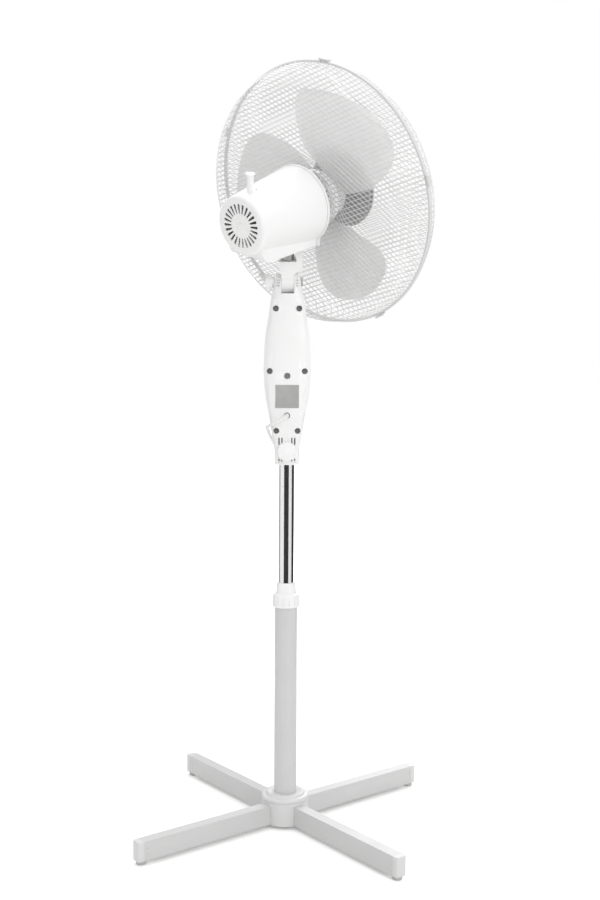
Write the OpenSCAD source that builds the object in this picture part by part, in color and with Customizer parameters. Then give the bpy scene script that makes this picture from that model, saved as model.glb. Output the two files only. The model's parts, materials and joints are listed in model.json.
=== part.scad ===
// Pedestal fan with a cross base, a telescopic pole, a control box and a tilting, oscillating head.
// Frame: +Z up, origin on the floor under the pole, the control box faces -Y.

/* [Base] */
// Distance from the pole's axis to the centre of a foot
leg_reach = 285; // [220:5:340]
// Turn of the cross from the X axis
leg_turn = 37.4; // [0:0.1:90]
// Width of a cross bar
bar_w = 19.5; // [17:0.5:24]
// Height of a cross bar
bar_h = 32; // [28:1:42]
// Sheet thickness of a cross bar
bar_wall = 1.5; // [1.2:0.1:2.2]
// Height of a rubber foot
foot_h = 6.5; // [5:0.5:10]
// Radius of a rubber foot
foot_r = 8; // [6:0.5:9]
// Radius of the hub cover
hub_r = 40.5; // [38:0.5:50]

/* [Pole] */
// Outer radius of the lower tube
pole_r = 19; // [18:0.5:22]
// Wall of the lower tube
pole_wall = 1.2; // [1:0.1:1.6]
// Height of the lower tube's top end
pole_top = 383; // [330:1:420]
// Outer radius of the upper tube
mast_r = 12.5; // [11:0.25:13]
// Wall of the upper tube
mast_wall = 1; // [0.8:0.1:1.5]
// Length of the upper tube
mast_len = 445; // [400:5:480]
// Height of the upper tube's lower end, as it stands
mast_bottom = 235; // [225:1:250]
// Radius of the lock nut at its foot
nut_r = 23.4; // [22.8:0.1:26]

/* [Control box] */
// Greatest half width of the box
box_half_w = 39; // [34:0.5:44]
// Depth of each half of the box
box_depth = 24; // [22:0.5:30]
// Wall of the mouldings
shell_t = 2.2; // [1.8:0.1:3]
// Length of the upper tube inside the box
tube_in_box = 63.7; // [60:0.1:70]
// Height of the tilt pivot above the box's lower end
pivot_rise = 301.3; // [290:0.1:320]
// Number of push buttons
button_count = 4; // [3:1:5]
// Travel of a push button
button_travel = 4; // [2:0.5:5]
// Radius of the clamp knob
clamp_knob_r = 15.7; // [13:0.1:17]

/* [Neck] */
// Half width of the neck's tongue
tongue_half_w = 10.3; // [8:0.1:12]
// Height of the motor's axis above the tilt pivot
axis_rise = 125.6; // [122:0.1:135]
// Tilt of the head, nose up
head_tilt = 23.8; // [0:0.1:30]
// Swing of the head to its left
head_swing = 40; // [0:0.5:45]

/* [Motor] */
// Distance from the swing axis back to the rear face
motor_back = 113; // [110:1:120]
// Distance from the swing axis forward to the housing's seam
motor_seam = 21; // [16:0.5:22]
// Radius of the housing at its rear edge
motor_rear_r = 47.5; // [46:0.5:52]
// Radius of the housing at its seam
motor_front_r = 63.5; // [60:0.5:66]
// Number of vent slots in the rear face
vent_count = 24; // [16:1:28]

/* [Guard and blades] */
// Outer radius of the guard
guard_r = 216.5; // [205:0.5:225]
// Distance from the swing axis forward to the guard's joint
guard_joint = 86.5; // [84:0.5:90]
// Distance between neighbouring mesh wires
mesh_pitch = 14.5; // [12:0.5:24]
// Thickness of a mesh wire
mesh_wire = 1.3; // [1:0.1:2]
// Slope of the mesh wires
mesh_slope = 27.7; // [20:0.1:40]
// Radius at the blades' tips
blade_r = 180; // [160:1:186]
// Number of blades
blade_count = 3; // [3:1:4]
// Number of clips round the guard
clip_count = 5; // [5:1:5]

/* [Hidden] */
$fn = 64;
part_gap = 0.3;       // gap between parts that move past each other
running_gap = 0.05;   // radial gap of a shaft in its bore
seat_gap = 0.1;       // radial gap of a plug in its tube
white = [0.93, 0.93, 0.92];
warm_white = [0.9, 0.9, 0.89];
paint_grey = [0.8, 0.8, 0.79];
steel = [0.7, 0.7, 0.72];
chrome = [0.85, 0.86, 0.88];
black = [0.12, 0.12, 0.13];
rubber = [0.75, 0.75, 0.74];
copper = [0.72, 0.42, 0.22];
brass = [0.78, 0.66, 0.36];
translucent = [0.86, 0.87, 0.88];

// Base
bar_top = foot_h + bar_h;
lap_gap = 0.4;        // gap beside a bar in the other bar's notch
cap_t = 10;           // thickness of a cap past the bar's end
cap_plug = 22;        // length of a cap inside the bar
barb_z = [11.5, 21.5]; // heights of a cap's barbs above the bar's underside
barb_w = 3;
barb_h = 4;
foot_stem_r = 3;
foot_stem_h = 9;
flange_reach = 29;    // reach of the lower tube's four lugs
flange_t = 3;
base_screw_r = 2.5;
base_screw_at = 23.5;
hub_skirt_r = hub_r - 0.9;
hub_skirt_z = foot_h - 1;
hub_wall = 2.2;
hub_ring_r = 4.4;      // rounding of the hub cover's two rings
hub_ring_z = bar_top + 8.6;
hub_crown_r = hub_r - 7.3;
hub_crown_z = bar_top + 12.4;
// Pole and height lock
collet_in = 20;       // length of the collet inside the lower tube
nut_z = pole_top - 7;
nut_ring_h = 21.3;
nut_nose_h = 19;
nut_grooves = 14;
collet_thread_r = pole_r - 0.4;
collet_finger_r = mast_r + 2;
nut_nose_z = nut_z + nut_ring_h;
nut_top = nut_nose_z + nut_nose_h;
bush_h = 22;
bush_r = pole_r - pole_wall - running_gap;
mast_top = mast_bottom + mast_len;
// Control box
box_z = mast_top - tube_in_box;
pivot_z = box_z + pivot_rise;
part_y = 8;           // plane between the two halves
fork_half = tongue_half_w + 0.35;
fork_floor = pivot_z - 19.2;
pivot_bolt_r = 4;
// Half width, half width of the rear panel, share of the depth behind and share in front, by height
box_rows = [[0, 20.3, 13.5, 0.55, 0.55], [6.5, 20.5, 14.5, 0.66, 0.66], [24, 20.8, 15, 0.72, 0.74],
    [34, 22, 15.5, 0.78, 0.82], [60, 26.6, 16.5, 0.9, 0.94], [84, 30.5, 18.5, 1, 1], [107, 34.6, 19.5, 1, 1],
    [132, 37.8, 19.6, 1, 1], [157, 39, 19, 1, 1], [190, 38, 18, 1, 1], [215, 36, 17, 1, 1],
    [246, 31, 15.4, 1, 1], [272, 27.6, 13.8, 0.98, 0.98], [282, 25.3, 12.9, 0.92, 0.92],
    [292, 22.7, 12.4, 0.8, 0.8], [301, 21.2, 12.2, 0.66, 0.66], [309, 20.3, 12, 0.52, 0.52],
        [315.5, 19.4, 11.8, 0.36, 0.36]];
box_stretch = pivot_rise / 301.3;
rear_depth = box_depth + 2;
front_depth = box_depth + 4;
box_scale = box_half_w / 39;
inner_floor = 5;
inner_roof = 277;
screw_r = 2;
screw_head_r = 4;
recess_r = 5;
boss_r = 6.6;
recess_floor = 4;     // thickness left under a screw recess
cover_screw_at = [[17.5, 57.2], [28.7, 155.4], [19, 257.7]];
middle_screw_rise = 147.7;
label_w = 38.7;
label_h = 38;
label_rise = 95.2;
label_t = 0.5;
cord_rise = 83;
cord_r = 2.7;
cord_hole_r = 5;
gland_r = 7.5;
clamp_rise = 23.7;
clamp_screw_r = 3;
socket_wall = 2;
socket_h = 43;
panel_rise = 90;
panel_h = 90;
panel_w = 44;
button_w = 30;
button_pitch = (panel_h - 12) / button_count;
button_h = button_pitch - 4;
button_out = 5;
switch_w = 38;
switch_front = 12 - front_depth;
switch_back = 2;
switch_low = panel_rise - 6;
switch_high = panel_rise + panel_h + 6;
stem_w = 5;
rib_t = 4;
// Tilt joint
tilt_knob_r = 12.6;
tilt_knob_x = 25.5;
tilt_knob_t = 10.5;
bolt_end_x = 37.5;
nut_x = 22.5;
lug_r = 18.5;
block_half = 13.5;
block_low = 18.8;
block_top = 40;
block_deep = 13;
arm_in = 14;
arm_out = 23.5;
skirt_low = 58;       // depth of the skirt's lower edge below the motor's axis
arm_top = axis_rise - skirt_low - 0.6;
swing_pin_r = 6;
swing_pin_low = 12;
// Motor
motor_r = 46;
shell_round = 6;
skirt_half = 42;
skirt_rear_half = 35;
skirt_back = 103;
collar_t = 7;
collar_end = motor_seam + collar_t;
collar_lip = 1;       // how far the collar stands out past the housing
lattice_bars = 20;
lattice_bar_w = 1.4;
drum_end = 50;
neck_seat = 56.5;     // where the rear guard rests on the front bell
front_r = 47.5;       // radius of the housing's front end
thread_r = 37;
thread_end = 71;
guard_nut_r = 46.5;
guard_nut_h = 12.5;
guard_hub_t = 3;
shaft_r = 4;
stack_back = 2;
stack_len = 20;
rotor_r = 20.5;
air_gap = 0.5;
bell_wall = 2.5;
bell_back = 40;
vent_in = 19.5;
vent_out = 33.7;
// Swing gear
case_back = 98;
case_top = 14;
case_low = -36;
case_left = -14;
case_right = 26;
case_wall = 3;
worm_r = 4.5;
worm_wheel_r = 8;
wheel_at = [worm_r + worm_wheel_r + part_gap, -80];
worm_len = 13;
shaft_back = 86;
crank_back = 62;
foot_plate_top = -motor_r - part_gap;
foot_plate_t = 3.7;
boss_swing_r = 10.5;
anchor_r = 19.7;
anchor_turn = 150;    // direction of the link's anchor seen from above the neck
swing_reach = 45;     // swing to each side of straight ahead
link_z = 70;
link_t = 2;
link_half = 4.5;
link_pin_r = 2.5;
anchor = anchor_r * [cos(anchor_turn), sin(anchor_turn)];
link_far = sqrt(crank_back ^ 2 + anchor_r ^ 2 - 2 * crank_back * anchor_r * cos(anchor_turn - 90 + swing_reach));
link_near = sqrt(crank_back ^ 2 + anchor_r ^ 2 - 2 * crank_back * anchor_r * cos(anchor_turn - 90 - swing_reach));
link_len = (link_far + link_near) / 2;
crank_r = (link_far - link_near) / 2;
crank_centre = crank_back * [sin(head_swing), cos(head_swing)];
to_anchor = anchor - crank_centre;
crank_lead = acos((norm(to_anchor) ^ 2 + crank_r ^ 2 - link_len ^ 2) / (2 * norm(to_anchor) * crank_r));
crank_dir = atan2(to_anchor[1], to_anchor[0]) - crank_lead;
link_end = crank_centre + crank_r * [cos(crank_dir), sin(crank_dir)];
crank_gear_r = crank_r + 3.5;
pinion_r = norm([wheel_at[0], wheel_at[1] + crank_back]) - crank_gear_r - part_gap;
knob_back = 90;
knob_rise = 78;
knob_shaft_r = 5.3;
knob_cap_r = 7.6;
knob_travel = 8;
// Guards
ring_t = 3.6;
ring_half = 3.2;      // half the thickness of the two rings together
ring_in = guard_r - ring_t;
ring_back = guard_joint - ring_half;
ring_front = guard_joint + ring_half;
wire_depth = 1.3;
layer_step = wire_depth + 0.05;
guard_hub_r = 48;
badge_r = 65;
badge_seat_r = 62;
badge_back = guard_joint + 47;
badge_t = 9;
badge_lip = 7.1;      // height of the badge's lip over its back
guard_back = guard_joint - 43;
rear_profile = [[44, neck_seat + 1.5], [64, neck_seat + 0.5], [70, neck_seat - 3], [78, guard_back + 5],
    [85, guard_back + 2], [150, guard_back], [guard_r - 28, guard_back - 0.5],
        [guard_r - 21, guard_back + 2.5],
    [guard_r - 13, guard_back + 11], [guard_r - 3, guard_joint]];
front_profile = [[guard_r - 3.6, guard_joint], [guard_r - 4.9, guard_joint + 8],
    [guard_r - 13, guard_joint + 25],
    [guard_r - 22, guard_joint + 33], [guard_r - 37, guard_joint + 38], [130, guard_joint + 45.5],
    [66, guard_joint + 51], [58, guard_joint + 51.4]];
clip_half = 8;
clip_pin_r = 1;
clip_ear_r = 1.9;
clip_pin_out = 2.3;   // pin's distance outside the ring
clip_pin_back = 3;  // pin's distance behind the joint
clip_wall = 2;
clip_hook = 1.2;      // how far the hook reaches in over the ring
clip_turn = 360 / clip_count;
// Blades
hub_blade_r = 37;
hub_back = 74.3;
hub_front = hub_back + 32;
root_r = hub_blade_r - 1;
blade_t = 1.8;
blade_turn = 6.2;     // turn of the first blade from its moulded mark
// Leading edge, trailing edge and their places past the hub's back face, by share of the way to the tip
blade_rows = [[0, 105, 165, 6, 27], [0.1125, 91, 162, -2, 26], [0.2125, 79.5, 160, -8, 25],
    [0.325, 74, 158, -16, 23.5], [0.4375, 72.3, 156, -20, 22], [0.55, 71.5, 152.5, -22, 20.5],
    [0.6875, 71.5, 149, -22.5, 19], [0.8, 72, 145, -23, 18], [0.8875, 73.6, 141, -23.2, 17],
    [0.95, 76.4, 136, -23.2, 15.5], [0.9875, 80.6, 128, -22, 13], [1, 88, 118, -19, 9]];
blade_steps = 10;
spinner_r = 13;
spinner_t = 11;
// Mains cord: where it leaves the box, round the box's edge, down behind the pole and along the floor
cord_route = [[0, 20.3, 699.3], [0, 24, 699.3], [0.6, 29.5, 698.6], [3, 34.5, 697], [8.5, 38.6, 694],
    [15.5, 39.6, 690], [22.5, 36.9, 686.5], [28, 30.5, 683.5], [31.4, 22, 681], [32.4, 12, 678],
    [32, 2, 674.5], [30.8, -9, 669], [28.5, -20.5, 662], [24, -29, 653], [17, -34, 640], [11, -37, 622],
    [7, -38, 600], [4, -37, 560], [2, -35, 500], [2, -34, 420], [2, -34, 340], [2, -35, 260],
    [2, -37, 190], [0, -40, 130], [-5, -43, 92], [-11, -44, 66], [-17, -44.8, 44], [-24, -47, 25],
    [-33, -51.5, 11], [-43, -57.5, 4.2], [-54, -65.5, 3], [-57.6, -68.2, 3]];
cord_sides = 10;
cord_steps = 2;
hank_from = [-44.5, -79.3];
hank_turn = 217.4;
hank_len = 112;
hank_w = 48.6;
hank_h = 11.4;
lead_len = 45;       // from the hank to the plug
lead_side = -18.9;    // where the lead leaves the hank, from its middle
lead_z = 8.2;
lead_in = 6;          // length of the lead inside the hank
plug_len = 36;
plug_w = 35.3;
plug_h = 13.7;
pin_len = 19;
pin_r = 2;
pin_pitch = 18.6;

// A rounded rectangle's outline
function arc(c, r, from, to, steps = 6) = [for (i = [0 : steps]) let (a = from + (to - from) * i / steps)
    [c[0] + r * cos(a), c[1] + r * sin(a)]];
function round_box(x0, y0, x1, y1, r) = concat(arc([x1 - r, y1 - r], r, 0, 90),
    arc([x0 + r, y1 - r], r, 90, 180),
    arc([x0 + r, y0 + r], r, 180, 270), arc([x1 - r, y0 + r], r, 270, 360));
function reversed(p) = [for (i = [len(p) - 1 : -1 : 0]) p[i]];
// A profile moved sideways by a distance
function seg_normal(a, b) = let (d = b - a) [d[1], -d[0]] / norm(d);
function point_normal(p, i) = let (n = len(p), a = i > 0 ? seg_normal(p[i - 1], p[i]) : seg_normal(p[i],
    p[i + 1]),
    b = i < n - 1 ? seg_normal(p[i], p[i + 1]) : a, m = a + b) 2 * m / (m * m);
function offset_profile(p, d) = [for (i = [0 : len(p) - 1]) p[i] + d * point_normal(p, i)];

// A ring of outer radius r and bore b
module tube(r, b, h, z = 0) {
    translate([0, 0, z]) difference() {
        cylinder(r = r, h = h);
        translate([0, 0, -1]) cylinder(r = b, h = h + 2);
    }
}

// A box given by its two corners
module block(a, b) {
    translate([min(a[0], b[0]), min(a[1], b[1]), min(a[2], b[2])])
        cube([abs(b[0] - a[0]), abs(b[1] - a[1]), abs(b[2] - a[2])]);
}

// A bar along X or Y between two places
module rod_x(x0, x1, r) { translate([x0, 0, 0]) rotate([0, 90, 0]) cylinder(r = r, h = x1 - x0); }
module rod_y(y0, y1, r) { translate([0, y0, 0]) rotate([-90, 0, 0]) cylinder(r = r, h = y1 - y0); }

// A solid through rings of points, each with the same even number of points
module loft(rings) {
    n = len(rings[0]);
    last = len(rings) - 1;
    points = [for (ring = rings, p = ring) p];
    sides = [for (k = [0 : last - 1], i = [0 : n - 1]) let (j = (i + 1) % n)
        [k * n + i, (k + 1) * n + i, (k + 1) * n + j, k * n + j]];
    first_end = [for (i = [0 : n / 2 - 2]) [i, i + 1, n - 2 - i, n - 1 - i]];
    last_end = [for (q = first_end) last * n * [1, 1, 1, 1] + [q[3], q[2], q[1], q[0]]];
    triangles = [for (q = concat(sides, first_end, last_end), t = [[q[0], q[1], q[2]], [q[0], q[2], q[3]]])
        t];
    polyhedron(points, triangles, convexity = 6);
}

// Places
module head_frame() {
    translate([0, 0, pivot_z]) rotate([-head_tilt, 0, 0]) translate([0, 0, axis_rise])
        rotate([0, 0, -head_swing])
        rotate([90, 0, 0]) children();
}
module neck_frame() {
    translate([0, 0, pivot_z]) rotate([-head_tilt, 0, 0]) children();
}
module leg_ends() {
    for (k = [0 : 3]) rotate([0, 0, leg_turn + 90 * k]) translate([leg_reach, 0, foot_h]) children();
}

// Base
module cross_bar(turn, notch_from, notch_to) {
    rotate([0, 0, turn]) difference() {
        block([-leg_reach, -bar_w / 2, foot_h], [leg_reach, bar_w / 2, bar_top]);
        block([-leg_reach - 1, -bar_w / 2 + bar_wall, foot_h - 1],
            [leg_reach + 1, bar_w / 2 - bar_wall, bar_top - bar_wall]);
        block([-bar_w / 2 - lap_gap, -bar_w, notch_from], [bar_w / 2 + lap_gap, bar_w, notch_to]);
        for (side = [-1, 1]) {
            for (z = barb_z) translate([side * (leg_reach - 5) - barb_w / 2 - 0.2, -bar_w,
                foot_h + z - barb_h / 2 - 0.2])
                cube([barb_w + 0.4, 2 * bar_w, barb_h + 0.4]);
            translate([side * base_screw_at, 0, bar_top - bar_wall - 1])
                cylinder(r = base_screw_r + running_gap, h = bar_wall + 2);
        }
    }
}
module cross_bar_lower() { color(paint_grey) cross_bar(leg_turn, foot_h + bar_h / 2, bar_top + 1); }
module cross_bar_upper() { color(paint_grey) cross_bar(leg_turn + 90, foot_h - 1, foot_h + bar_h / 2); }
module leg_cap() {
    plug_half = bar_w / 2 - bar_wall - seat_gap;
    difference() {
        union() {
            linear_extrude(bar_h) polygon(concat([[0, -bar_w / 2]],
                arc([cap_t - 3, 3 - bar_w / 2], 3, -90, 0),
                arc([cap_t - 3, bar_w / 2 - 3], 3, 0, 90), [[0, bar_w / 2]]));
            block([-cap_plug, -plug_half, 0], [0.1, plug_half, bar_h - bar_wall - seat_gap]);
            for (z = barb_z) translate([-5 - barb_w / 2, 0.2 - bar_w / 2, z - barb_h / 2])
                cube([barb_w, bar_w - 0.4, barb_h]);
        }
        translate([0, 0, -1]) cylinder(r = foot_stem_r + running_gap, h = foot_stem_h + 1.3);
    }
}
module leg_caps() { color(white) leg_ends() leg_cap(); }
module feet() {
    color(rubber) leg_ends() {
        rotate_extrude() polygon([[0, -foot_h], [foot_r - 1, -foot_h], [foot_r, 1 - foot_h], [foot_r, -1.5],
            [foot_r - 1.5, 0], [foot_stem_r, 0], [foot_stem_r, foot_stem_h - 1],
                [foot_stem_r - 1, foot_stem_h], [0, foot_stem_h]]);
    }
}
module base_cross(half_len, half_w, low, high) {
    for (turn = [leg_turn, leg_turn + 90]) rotate([0, 0, turn])
        block([-half_len, -half_w, low], [half_len, half_w, high]);
}
module hub_cover() {
    slot_half = bar_w / 2 + part_gap;
    hollow_r = hub_crown_r - hub_wall;
    outline = concat([[0, bar_top + 3], [hub_skirt_r, bar_top + 3]],
        arc([hub_r - hub_ring_r, hub_ring_z], hub_ring_r, -60, 80),
        arc([hub_crown_r - hub_ring_r, hub_crown_z], hub_ring_r, 10, 100),
        [[pole_r + 4, hub_crown_z + 3.9], [pole_r + running_gap, hub_crown_z + 3.4], [0, hub_crown_z + 3.4]]);
    color(white) difference() {
        union() {
            rotate_extrude($fn = 96) polygon(outline);
            translate([0, 0, hub_skirt_z]) cylinder(r = hub_skirt_r, h = bar_top + 3.1 - hub_skirt_z);
        }
        translate([0, 0, -1]) cylinder(r = hub_skirt_r - hub_wall, h = hub_ring_z + 1);
        translate([0, 0, -1]) cylinder(r = hollow_r, h = hub_crown_z + 2.2);
        cylinder(r = pole_r + running_gap, h = bar_top + 20);
        base_cross(hub_r, slot_half, -1, bar_top);
    }
}
module lower_tube() {
    color(paint_grey) difference() {
        union() {
            translate([0, 0, bar_top]) cylinder(r = pole_r, h = pole_top - bar_top);
            base_cross(flange_reach, bar_w / 2 - bar_wall, bar_top, bar_top + flange_t);
        }
        translate([0, 0, bar_top - 1]) cylinder(r = pole_r - pole_wall, h = pole_top);
        for (k = [0 : 3]) rotate([0, 0, leg_turn + 90 * k]) translate([base_screw_at, 0, bar_top - 1])
            cylinder(r = base_screw_r + running_gap, h = flange_t + 2);
    }
}
module base_screws() {
    color(steel) for (k = [0 : 3]) rotate([0, 0, leg_turn + 90 * k])
        translate([base_screw_at, 0, bar_top - bar_wall]) {
        cylinder(r = base_screw_r, h = bar_wall + flange_t);
        translate([0, 0, -3]) cylinder(r = 2 * base_screw_r, h = 3);
    }
}

// Height lock
module height_collet() {
    color(translucent) difference() {
        rotate_extrude() polygon([[mast_r + running_gap, pole_top - collet_in],
            [pole_r - pole_wall - seat_gap, pole_top - collet_in],
            [pole_r - pole_wall - seat_gap, pole_top], [pole_r, pole_top], [pole_r, pole_top + 3],
                [collet_thread_r, pole_top + 3],
            [collet_thread_r, nut_nose_z - 3], [collet_finger_r + 1, nut_nose_z - 3],
                [collet_finger_r, nut_nose_z + 10],
            [mast_r + running_gap, nut_nose_z + 10]]);
        for (turn = [0, 90]) rotate([0, 0, turn]) block([-pole_r, -0.8, pole_top + 6],
            [pole_r, 0.8, nut_top]);
    }
}
module lock_nut() {
    foot_r_in = pole_r + 0.15;
    color(white) difference() {
        rotate_extrude($fn = 96) polygon([[foot_r_in, nut_z], [nut_r, nut_z], [nut_r, nut_z + 3],
            [nut_r - 0.5, nut_z + 3.5],
            [nut_r - 1.2, nut_nose_z - 2], [nut_r - 2.5, nut_nose_z], [nut_r - 6.1, nut_nose_z + 1],
            [mast_r + 2.9, nut_top - 1], [mast_r + 2.3, nut_top], [mast_r + 0.6, nut_top],
                [mast_r + 0.6, nut_nose_z + 11],
            [collet_finger_r + part_gap, nut_nose_z + 11], [collet_finger_r + 1 + part_gap, nut_nose_z - 2],
            [collet_thread_r + running_gap, nut_nose_z - 2], [collet_thread_r + running_gap, pole_top + 3.3],
            [foot_r_in, pole_top + 3.3]]);
        for (k = [0 : nut_grooves - 1]) rotate([0, 0, 360 * k / nut_grooves])
            block([nut_r - 1.7, -0.7, nut_z + 4], [nut_r + 1, 0.7, nut_nose_z - 1]);
    }
}
module chrome_tube() { color(chrome) tube(mast_r, mast_r - mast_wall, mast_len, mast_bottom); }
module slide_bush() {
    color(black) union() {
        tube(bush_r, mast_r + seat_gap, bush_h, mast_bottom);
        tube(mast_r + 2, mast_r - mast_wall, 2, mast_bottom - 2);
    }
}
module tube_socket() {
    color(white) difference() {
        tube(mast_r + seat_gap + socket_wall, mast_r + seat_gap, socket_h, box_z + 6.6);
        translate([0, 0, box_z + clamp_rise]) rod_y(0, mast_r + 10, clamp_screw_r + running_gap);
    }
}

// Control box
function up(rise) = box_z + rise * box_stretch;
function rear_ring(row, d, start) = let (w = row[1] * box_scale - d, p = row[2] * box_scale - 0.6 * d,
    y = rear_depth * row[3] - d, deep = y - part_y, m = p + 0.62 * (w - p))
    [for (q = [[w, start], [w, part_y + 0.3 * deep], [m, part_y + 0.78 * deep], [p, y],
        [-p, y], [-m, part_y + 0.78 * deep], [-w, part_y + 0.3 * deep], [-w, start]]) [q[0], q[1],
            up(row[0])]];
function front_ring(row, d, start) = let (w = row[1] * box_scale - d, y = d - front_depth * row[4])
    [for (q = [[-w, start], [-w, 0.55 * y], [-w + 3, 0.88 * y], [-w + 8, y],
        [w - 8, y], [w - 3, 0.88 * y], [w, 0.55 * y], [w, start]]) [q[0], q[1], up(row[0])]];
inner_rows = [for (row = box_rows) if (row[0] > inner_floor && row[0] < inner_roof) row];
module cover_screw_places() {
    for (at = cover_screw_at, side = [-1, 1]) translate([side * at[0] * box_scale, 0, up(at[1])]) children();
}
module fork_cuts() {
    block([-fork_half, -box_depth * 2, fork_floor], [fork_half, box_depth * 2, pivot_z + 30]);
    translate([0, 0, pivot_z]) {
        rod_x(-60, 60, pivot_bolt_r + running_gap);
        rod_x(tilt_knob_x - 4.3, 60, tilt_knob_r - 3);
        rod_x(-60, 5.2 - nut_x, 7.2);
    }
}
module box_bore() {
    translate([0, 0, box_z - 1]) cylinder(r = mast_r + seat_gap, h = 10);
}
module box_rear_cover() {
    color(white) difference() {
        union() {
            difference() {
                loft([for (row = box_rows) rear_ring(row, 0, part_y)]);
                loft([for (row = inner_rows) rear_ring(row, shell_t, part_y - 1)]);
            }
            intersection() {
                loft([for (row = box_rows) rear_ring(row, 0.1, part_y)]);
                cover_screw_places() rod_y(part_y, rear_depth, boss_r);
            }
            translate([0, 0, up(middle_screw_rise)]) rod_y(switch_back + part_gap, rear_depth - 1, boss_r);
        }
        fork_cuts();
        box_bore();
        cover_screw_places() {
            rod_y(part_y + recess_floor, rear_depth + 5, recess_r);
            rod_y(0, rear_depth, screw_r + running_gap);
        }
        translate([0, 0, up(middle_screw_rise)]) {
            rod_y(rear_depth - 5, rear_depth + 5, recess_r + 0.5);
            rod_y(0, rear_depth, screw_r + running_gap);
        }
        translate([0, 0, up(cord_rise)]) rod_y(0, rear_depth + 5, gland_r - 1.5);
        translate([0, 0, box_z + clamp_rise]) rod_y(0, rear_depth + 5, clamp_screw_r + running_gap);
        for (side = [-1, 1]) {
            for (x = [8.2, 13]) translate([side * x - 1, mast_r + 2.5, 0]) {
                translate([0, 0, box_z + 4]) cube([2, 20, 6.5]);
                translate([0, 0, box_z + (x > 10 ? 34 : 37)]) cube([2, 20, x > 10 ? 12 : 9]);
            }
            for (k = [0 : 3]) translate([side * 15.5 - 2.5, part_y + 3, pivot_z - 7.5 + 4.6 * k])
                cube([5, 20, 1.2]);
        }
    }
}
module box_front_cover() {
    window_half = panel_w / 2 + seat_gap;
    color(white) difference() {
        union() {
            difference() {
                loft([for (row = box_rows) front_ring(row, 0, part_y)]);
                loft([for (row = inner_rows) front_ring(row, shell_t, part_y + 1)]);
            }
            intersection() {
                loft([for (row = box_rows) front_ring(row, 0.1, part_y)]);
                union() {
                    cover_screw_places() rod_y(-front_depth, part_y, screw_r + 2.5);
                    for (z = [up(switch_low), up(switch_high) - rib_t])
                        block([-12, -front_depth, z], [12, switch_front, z + rib_t]);
                    block([-8, -front_depth, up(205)], [8, -12, up(205) + rib_t]);
                    block([-12, -front_depth, mast_top + part_gap],
                        [12, part_y - 1, mast_top + part_gap + 3]);
                }
            }
        }
        fork_cuts();
        box_bore();
        cover_screw_places() rod_y(-8, part_y + 1, screw_r + running_gap);
        block([-window_half, -front_depth - 5, up(panel_rise) - seat_gap],
            [window_half, 0.5 - front_depth + shell_t, up(panel_rise) + panel_h + seat_gap]);
    }
}
module cover_screw(head_y, tip_y) {
    rod_y(tip_y, head_y, screw_r);
    rod_y(head_y, head_y + 2.4, screw_head_r);
}
module cover_screws() {
    color(steel) {
        cover_screw_places() cover_screw(part_y + recess_floor, -7);
        translate([0, 0, up(middle_screw_rise)]) cover_screw(rear_depth - 5, switch_back - 6);
    }
}
module label_plate() {
    color(steel) block([-label_w / 2, rear_depth, up(label_rise)],
        [label_w / 2, rear_depth + label_t, up(label_rise) + label_h]);
}
function button_z(k) = up(panel_rise) + 6 + button_pitch * (k - 0.5);
module control_panel() {
    slot = 0.3;
    color(paint_grey) difference() {
        block([-panel_w / 2, -front_depth, up(panel_rise)],
            [panel_w / 2, shell_t - front_depth, up(panel_rise) + panel_h]);
        for (k = [1 : button_count]) block([-button_w / 2 - slot, -front_depth - 1,
            button_z(k) - button_h / 2 - slot],
            [button_w / 2 + slot, 1 + shell_t - front_depth, button_z(k) + button_h / 2 + slot]);
    }
}
module speed_button(k) {
    back = shell_t - front_depth + part_gap;
    color(white) translate([0, 0, button_z(k)]) {
        translate([0, -front_depth - button_out, 0]) rotate([-90, 0, 0])
            linear_extrude(back + front_depth + button_out + 0.1)
                polygon(round_box(-button_w / 2, -button_h / 2, button_w / 2, button_h / 2, 2));
        block([-button_w / 2 - 2, back, -button_h / 2 - 1], [button_w / 2 + 2, back + 1.5, button_h / 2 + 1]);
        block([-stem_w / 2, back + 1.4, -stem_w / 2], [stem_w / 2, switch_front + 2, stem_w / 2]);
    }
}
module speed_button_1() speed_button(1);
module speed_button_2() speed_button(2);
module speed_button_3() speed_button(3);
module speed_button_4() if (button_count > 3) speed_button(4);
module switch_block() {
    slot = stem_w / 2 + part_gap;
    color(black) difference() {
        block([-switch_w / 2, switch_front, up(switch_low)], [switch_w / 2, switch_back, up(switch_high)]);
        for (k = [1 : button_count]) translate([0, 0, button_z(k)])
            block([-slot, switch_front - 1, -slot], [slot, switch_front + button_travel + 5, slot]);
        translate([0, 0, up(middle_screw_rise)]) rod_y(switch_back - 8, switch_back + 1,
            screw_r + running_gap);
    }
}
module capacitor() { color(black) block([-16, -12, up(196)], [16, 6, up(226)]); }
module cord_gland() {
    color(white) translate([0, 0, up(cord_rise)]) difference() {
        union() {
            rod_y(17, rear_depth + 0.1, gland_r - 1.5 - running_gap);
            rod_y(rear_depth, rear_depth + 1.2, gland_r);
        }
        rod_y(20, rear_depth + 5, cord_hole_r);
    }
}
module pivot_nut() {
    color(steel) translate([-nut_x - 2.3, 0, pivot_z]) difference() {
        rotate([0, 90, 0]) cylinder(r = 6.9, h = 7.2, $fn = 6);
        rod_x(-1, 9, pivot_bolt_r + running_gap);
    }
}
module clamp_knob() {
    seat = rear_depth * 0.81 + part_gap;
    color(white) translate([0, 0, box_z + clamp_rise]) {
        rod_y(mast_r + running_gap, seat + 1, clamp_screw_r);
        translate([0, seat, 0]) rotate([-90, 0, 0])
            rotate_extrude() polygon(concat([[0, 0], [clamp_knob_r - 1, 0], [clamp_knob_r, 1]],
                arc([clamp_knob_r - 2.5, 6.5], 2.5, 0, 90, 4), [[0, 9.4]]));
    }
}
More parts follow.
